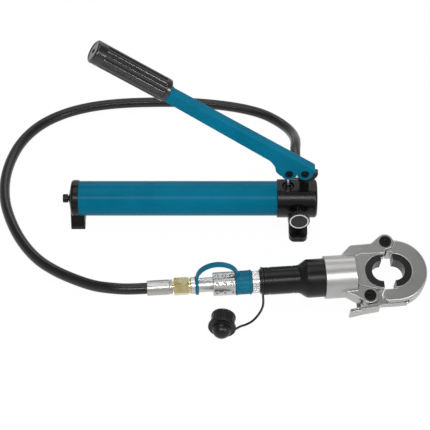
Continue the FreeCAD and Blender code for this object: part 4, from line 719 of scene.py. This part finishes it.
CUP_TURN = math.radians(-97.0)
CUP_AXIS = Vector((math.cos(CUP_TURN), math.sin(CUP_TURN), 0))
CUP_R, CUP_LEN, CUP_WALL = 18.3, 18.8, 2.4
RIM_R, RIM_T, RIM_IN_X = 20.5, 4.5, 2.1
DOME_R, DOME_NECK = 13.8, 2.3
CUP_AT = Vector((-120.3, -246.0, RIM_R)) * MM
CUP_FRAME = frame_matrix(CUP_AT, CUP_AXIS, Z_AXIS.cross(CUP_AXIS), Z_AXIS)


def dome_rings(centre, radius, degrees):
    """Rings of a ball about centre, at these angles from its widest place."""
    turns = [math.radians(d) for d in degrees]
    return [(centre + radius * math.sin(t), radius * math.cos(t), 0) for t in turns]


def loose_cup():
    """Dust cap off the coupler: ribbed cup, flange and hollow dome."""
    centre = RIM_T + DOME_NECK
    rings = [(-CUP_LEN, CUP_R - CUP_WALL, 0), (-CUP_LEN, CUP_R, 0.9), (-CUP_LEN + 2.4, CUP_R, 0.2),
             (-CUP_LEN + 2.9, CUP_R - 0.6, 0)]
    rings += [(-CUP_LEN + 3.6 + 1.5 * k, CUP_R - 0.6, 0) for k in range(10)]
    rings += [(-0.6, CUP_R - 0.6, 0), (0, CUP_R, 0), (0, RIM_R, 0.7), (RIM_T, RIM_R, 0.9),
              (RIM_T, DOME_R + 1.2, 0.6), (RIM_T + 0.8, DOME_R, 0)]
    rings += dome_rings(centre, DOME_R, range(0, 90, 6))
    rings += [(centre + DOME_R, 0, 0), (centre + DOME_R - CUP_WALL, 0, 0)]
    rings += dome_rings(centre, DOME_R - CUP_WALL, range(78, -1, -13))
    rings += [(RIM_IN_X, DOME_R - CUP_WALL, 0), (RIM_IN_X, CUP_R - CUP_WALL, 0)]
    mesh = lathe(rings, 192)
    pull_in(mesh, -CUP_LEN + 3.0, -0.4, over=CUP_R - 0.8, count=16, depth=0.7, ease=1.0, sharpness=0.6)
    return mesh


finished("loose_cup_ribbed", loose_cup(), CUP_FRAME, "pump", "black_cap", ["black_dust_cap"], 40.0)


# Springs

RAM_SPRING_X0, RAM_SPRING_X1 = -112.8, -74.6
RAM_SPRING_R, RAM_SPRING_WIRE, RAM_SPRING_TURNS, RAM_SPRING_KEEP = 15.2, 1.6, 6.0, 0.54
THUMB_SPRING_AT = tool_place(-50.0, -55.2)
THUMB_SPRING_LEN = 11.2
THUMB_SPRING_R, THUMB_SPRING_WIRE, THUMB_SPRING_TURNS, THUMB_SPRING_KEEP = 2.7, 0.7, 5.0, 0.42


def coil(x0, x1, mean_r, wire_r, turns, steps):
    """Round wire wound into a spring along X, with this many steps in a turn."""
    mesh = bmesh.new()
    pitch = (x1 - x0 - 2 * wire_r) / turns
    wire = bmesh.ops.create_circle(mesh, cap_ends=True, segments=12, radius=wire_r)["verts"]
    bmesh.ops.rotate(mesh, cent=(0, 0, 0), matrix=Matrix.Rotation(math.pi / 2, 3, "X"), verts=wire)
    bmesh.ops.translate(mesh, vec=(x0 + wire_r, 0, mean_r), verts=wire)
    start = list(mesh.faces) + list(mesh.edges) + list(mesh.verts)
    bmesh.ops.spin(mesh, geom=start, cent=(0, 0, 0), axis=(1, 0, 0), dvec=(pitch / steps, 0, 0),
                   angle=2 * math.pi * turns, steps=int(steps * turns))
    tidied(mesh)
    return mesh


return_spring = finished(
    "return_spring_wound",
    coil(RAM_SPRING_X0, RAM_SPRING_X1, RAM_SPRING_R, RAM_SPRING_WIRE, RAM_SPRING_TURNS, 40),
    TOOL_FRAME, BODY_OF["return_spring"], "spring_steel", ["return_spring"], 60.0)
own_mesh(return_spring)
THUMB_FRAME = frame_matrix(THUMB_SPRING_AT, TOOL_B, TOOL_N, TOOL_A)
latch_spring = finished(
    "latch_spring_wound",
    coil(0.0, THUMB_SPRING_LEN, THUMB_SPRING_R, THUMB_SPRING_WIRE, THUMB_SPRING_TURNS, 28),
    THUMB_FRAME, "latch", "spring_steel", ["latch_spring"], 60.0)
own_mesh(latch_spring)


# Cords: the hose and the loose cap's strap

HOSE_R = 8.5
HOSE_LOW = 8.6
HOSE_STRAIGHT = 26.0
HOSE_ROUTE = [
    (0, HOSE_Y0, 42), (0, 112, 42), (3, 140, 34.5), (2, 168, 23), (-6, 196, 14.5), (-23, 221.5, 9.4),
    (-49, 243, HOSE_LOW), (-88, 258, HOSE_LOW), (-138, 268, HOSE_LOW), (-190, 273, HOSE_LOW),
    (-243, 273, HOSE_LOW), (-296, 270, HOSE_LOW), (-346, 261, HOSE_LOW), (-391, 243, HOSE_LOW),
    (-429, 214, HOSE_LOW), (-456, 173, HOSE_LOW), (-470, 126, HOSE_LOW), (-475, 77, HOSE_LOW),
    (-470, 28, HOSE_LOW), (-455, -19, HOSE_LOW), (-434, -63, HOSE_LOW), (-407, -101, 9.6),
    (-377, -128, 12.5), (-345, -151, 18), (-313, -171.5, 25.5), (-285, -182.3, 32.2)]
TETHER_R = 1.75
TETHER_LOW = 1.85
TETHER_ROUTE = [
    (-59.0, -186.76, 20.62), (-57.9, -193.76, 14.02), (-60.5, -200.96, 6), (-67.2, -210.56, TETHER_LOW),
    (-75.0, -220.96, TETHER_LOW), (-84.9, -229.56, 4), (-94.5, -237.5, 9.5), (-101.0, -247.55, 14.87)]


def cord_curve(name, points, radius, material):
    """Round cord along a smooth curve that starts and ends at its first and last point."""
    curve = bpy.data.curves.new(name, "CURVE")
    curve.dimensions = "3D"
    curve.bevel_depth = radius
    curve.bevel_resolution = 8
    curve.resolution_u = 16
    curve.use_fill_caps = True
    spline = curve.splines.new("NURBS")
    spline.points.add(len(points) - 1)
    for point, place in zip(spline.points, points):
        point.co = (*place, 1.0)
    spline.order_u = 3
    spline.use_endpoint_u = True
    spline.resolution_u = 16
    cord = bpy.data.objects.new(name, curve)
    bpy.context.scene.collection.objects.link(cord)
    curve.materials.append(material)
    return cord


def hose():
    """Pressure hose from the pump's ferrule to the crimping head's."""
    points = [Vector(p) * MM for p in HOSE_ROUTE]
    points += [tool_place(FERRULE_X0 - HOSE_STRAIGHT), tool_place(FERRULE_X0)]
    cord = cord_curve("pressure_hose", points, HOSE_R * MM, FINISHES["hose_rubber"])
    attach(cord, "pump")
    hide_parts("hose")


def tether():
    """Thin strap from the ring on the tool's neck to the loose cap."""
    points = [Vector(p) * MM for p in TETHER_ROUTE]
    cord = cord_curve("cap_strap", points, TETHER_R * MM, FINISHES["black_cap"])
    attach(cord, "pump")
    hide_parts("cap_tether")


hose()
tether()


# Setting: pale floor, soft light and the photograph's camera

FLOOR_HALF, FLOOR_Z = 6.0, -0.0002
FLOOR_GLOW, FLOOR_SHARE = 1.01, 0.95
TENT_LOW, TENT_HIGH = 0.62, 0.17
MIDDLE = (-0.12, 0.02, 0.05)
LAMPS = [
    ("strip over the camera", (-0.1, -1.75, 2.0), MIDDLE, (2.6, 0.3), 39.0),
    ("strip along the lever", (1.5, -1.40, 1.05), (-0.2, 0.0, 0.2), (0.9, 0.14), 12.0),
    ("top", (-0.3, 0.3, 2.4), MIDDLE, (1.8, 1.4), 16.0),
    ("back", (0.2, 1.8, 1.4), MIDDLE, (2.2, 0.6), 9.0)]


def floor():
    """Pale floor that takes soft shadows and looks white to the camera and in reflections."""
    mesh = bmesh.new()
    bmesh.ops.create_grid(mesh, x_segments=1, y_segments=1, size=FLOOR_HALF)
    data = bpy.data.meshes.new("floor")
    mesh.to_mesh(data)
    mesh.free()
    ground = bpy.data.objects.new("floor", data)
    ground.location.z = FLOOR_Z
    bpy.context.scene.collection.objects.link(ground)
    material = bpy.data.materials.new("pale floor")
    material.use_nodes = True
    nodes, links = material.node_tree.nodes, material.node_tree.links
    shader = nodes["Principled BSDF"]
    shader.inputs["Base Color"].default_value = (0.86, 0.86, 0.86, 1.0)
    shader.inputs["Roughness"].default_value = 0.9
    glow = nodes.new("ShaderNodeEmission")
    glow.inputs["Color"].default_value = (1.0, 1.0, 1.0, 1.0)
    glow.inputs["Strength"].default_value = FLOOR_GLOW
    path = nodes.new("ShaderNodeLightPath")
    seen = math_node(nodes, "MAXIMUM")
    links.new(path.outputs["Is Camera Ray"], seen.inputs[0])
    links.new(path.outputs["Is Glossy Ray"], seen.inputs[1])
    share = math_node(nodes, "MULTIPLY", second=FLOOR_SHARE)
    links.new(seen.outputs[0], share.inputs[0])
    mix = nodes.new("ShaderNodeMixShader")
    links.new(share.outputs[0], mix.inputs["Fac"])
    links.new(shader.outputs["BSDF"], mix.inputs[1])
    links.new(glow.outputs["Emission"], mix.inputs[2])
    links.new(mix.outputs["Shader"], nodes["Material Output"].inputs["Surface"])
    data.materials.append(material)


def lamp(name, place, target, size, watts):
    """Rectangular lamp at a place, turned to its target."""
    data = bpy.data.lights.new(name, "AREA")
    data.shape = "RECTANGLE"
    data.size, data.size_y = size
    data.energy = watts
    light = bpy.data.objects.new(name, data)
    light.location = place
    light.rotation_euler = (Vector(target) - Vector(place)).to_track_quat("-Z", "Y").to_euler()
    bpy.context.scene.collection.objects.link(light)


def tent(tree):
    """Light tent: bright round the horizon and dimmer overhead, plain white to the camera."""
    nodes, links = tree.nodes, tree.links
    direction = nodes.new("ShaderNodeTexCoord")
    parts = nodes.new("ShaderNodeSeparateXYZ")
    links.new(direction.outputs["Generated"], parts.inputs[0])
    height = nodes.new("ShaderNodeMapRange")
    height.interpolation_type = "SMOOTHSTEP"
    height.inputs["From Min"].default_value = 0.15
    height.inputs["From Max"].default_value = 0.95
    height.inputs["To Min"].default_value = TENT_LOW
    height.inputs["To Max"].default_value = TENT_HIGH
    links.new(parts.outputs["Z"], height.inputs["Value"])
    path = nodes.new("ShaderNodeLightPath")
    seen = math_node(nodes, "MAXIMUM")
    links.new(height.outputs["Result"], seen.inputs[0])
    links.new(path.outputs["Is Camera Ray"], seen.inputs[1])
    links.new(seen.outputs[0], nodes["Background"].inputs["Strength"])
    nodes["Background"].inputs["Color"].default_value = (1.0, 1.0, 1.0, 1.0)


def setting():
    """View transform, world, floor, lamps and camera."""
    scene = bpy.context.scene
    scene.view_settings.view_transform = "Standard"
    world = bpy.data.worlds.new("studio")
    world.use_nodes = True
    tent(world.node_tree)
    scene.world = world
    floor()
    for values in LAMPS:
        lamp(*values)
    data = bpy.data.cameras.new("camera")
    data.sensor_width = SENSOR
    data.lens = LENS
    data.clip_end = 20.0
    camera = bpy.data.objects.new("camera", data)
    camera.location = CAMERA_AT
    camera.rotation_euler = (CAMERA_TILT, 0.0, 0.0)
    scene.collection.objects.link(camera)
    scene.camera = camera


setting()
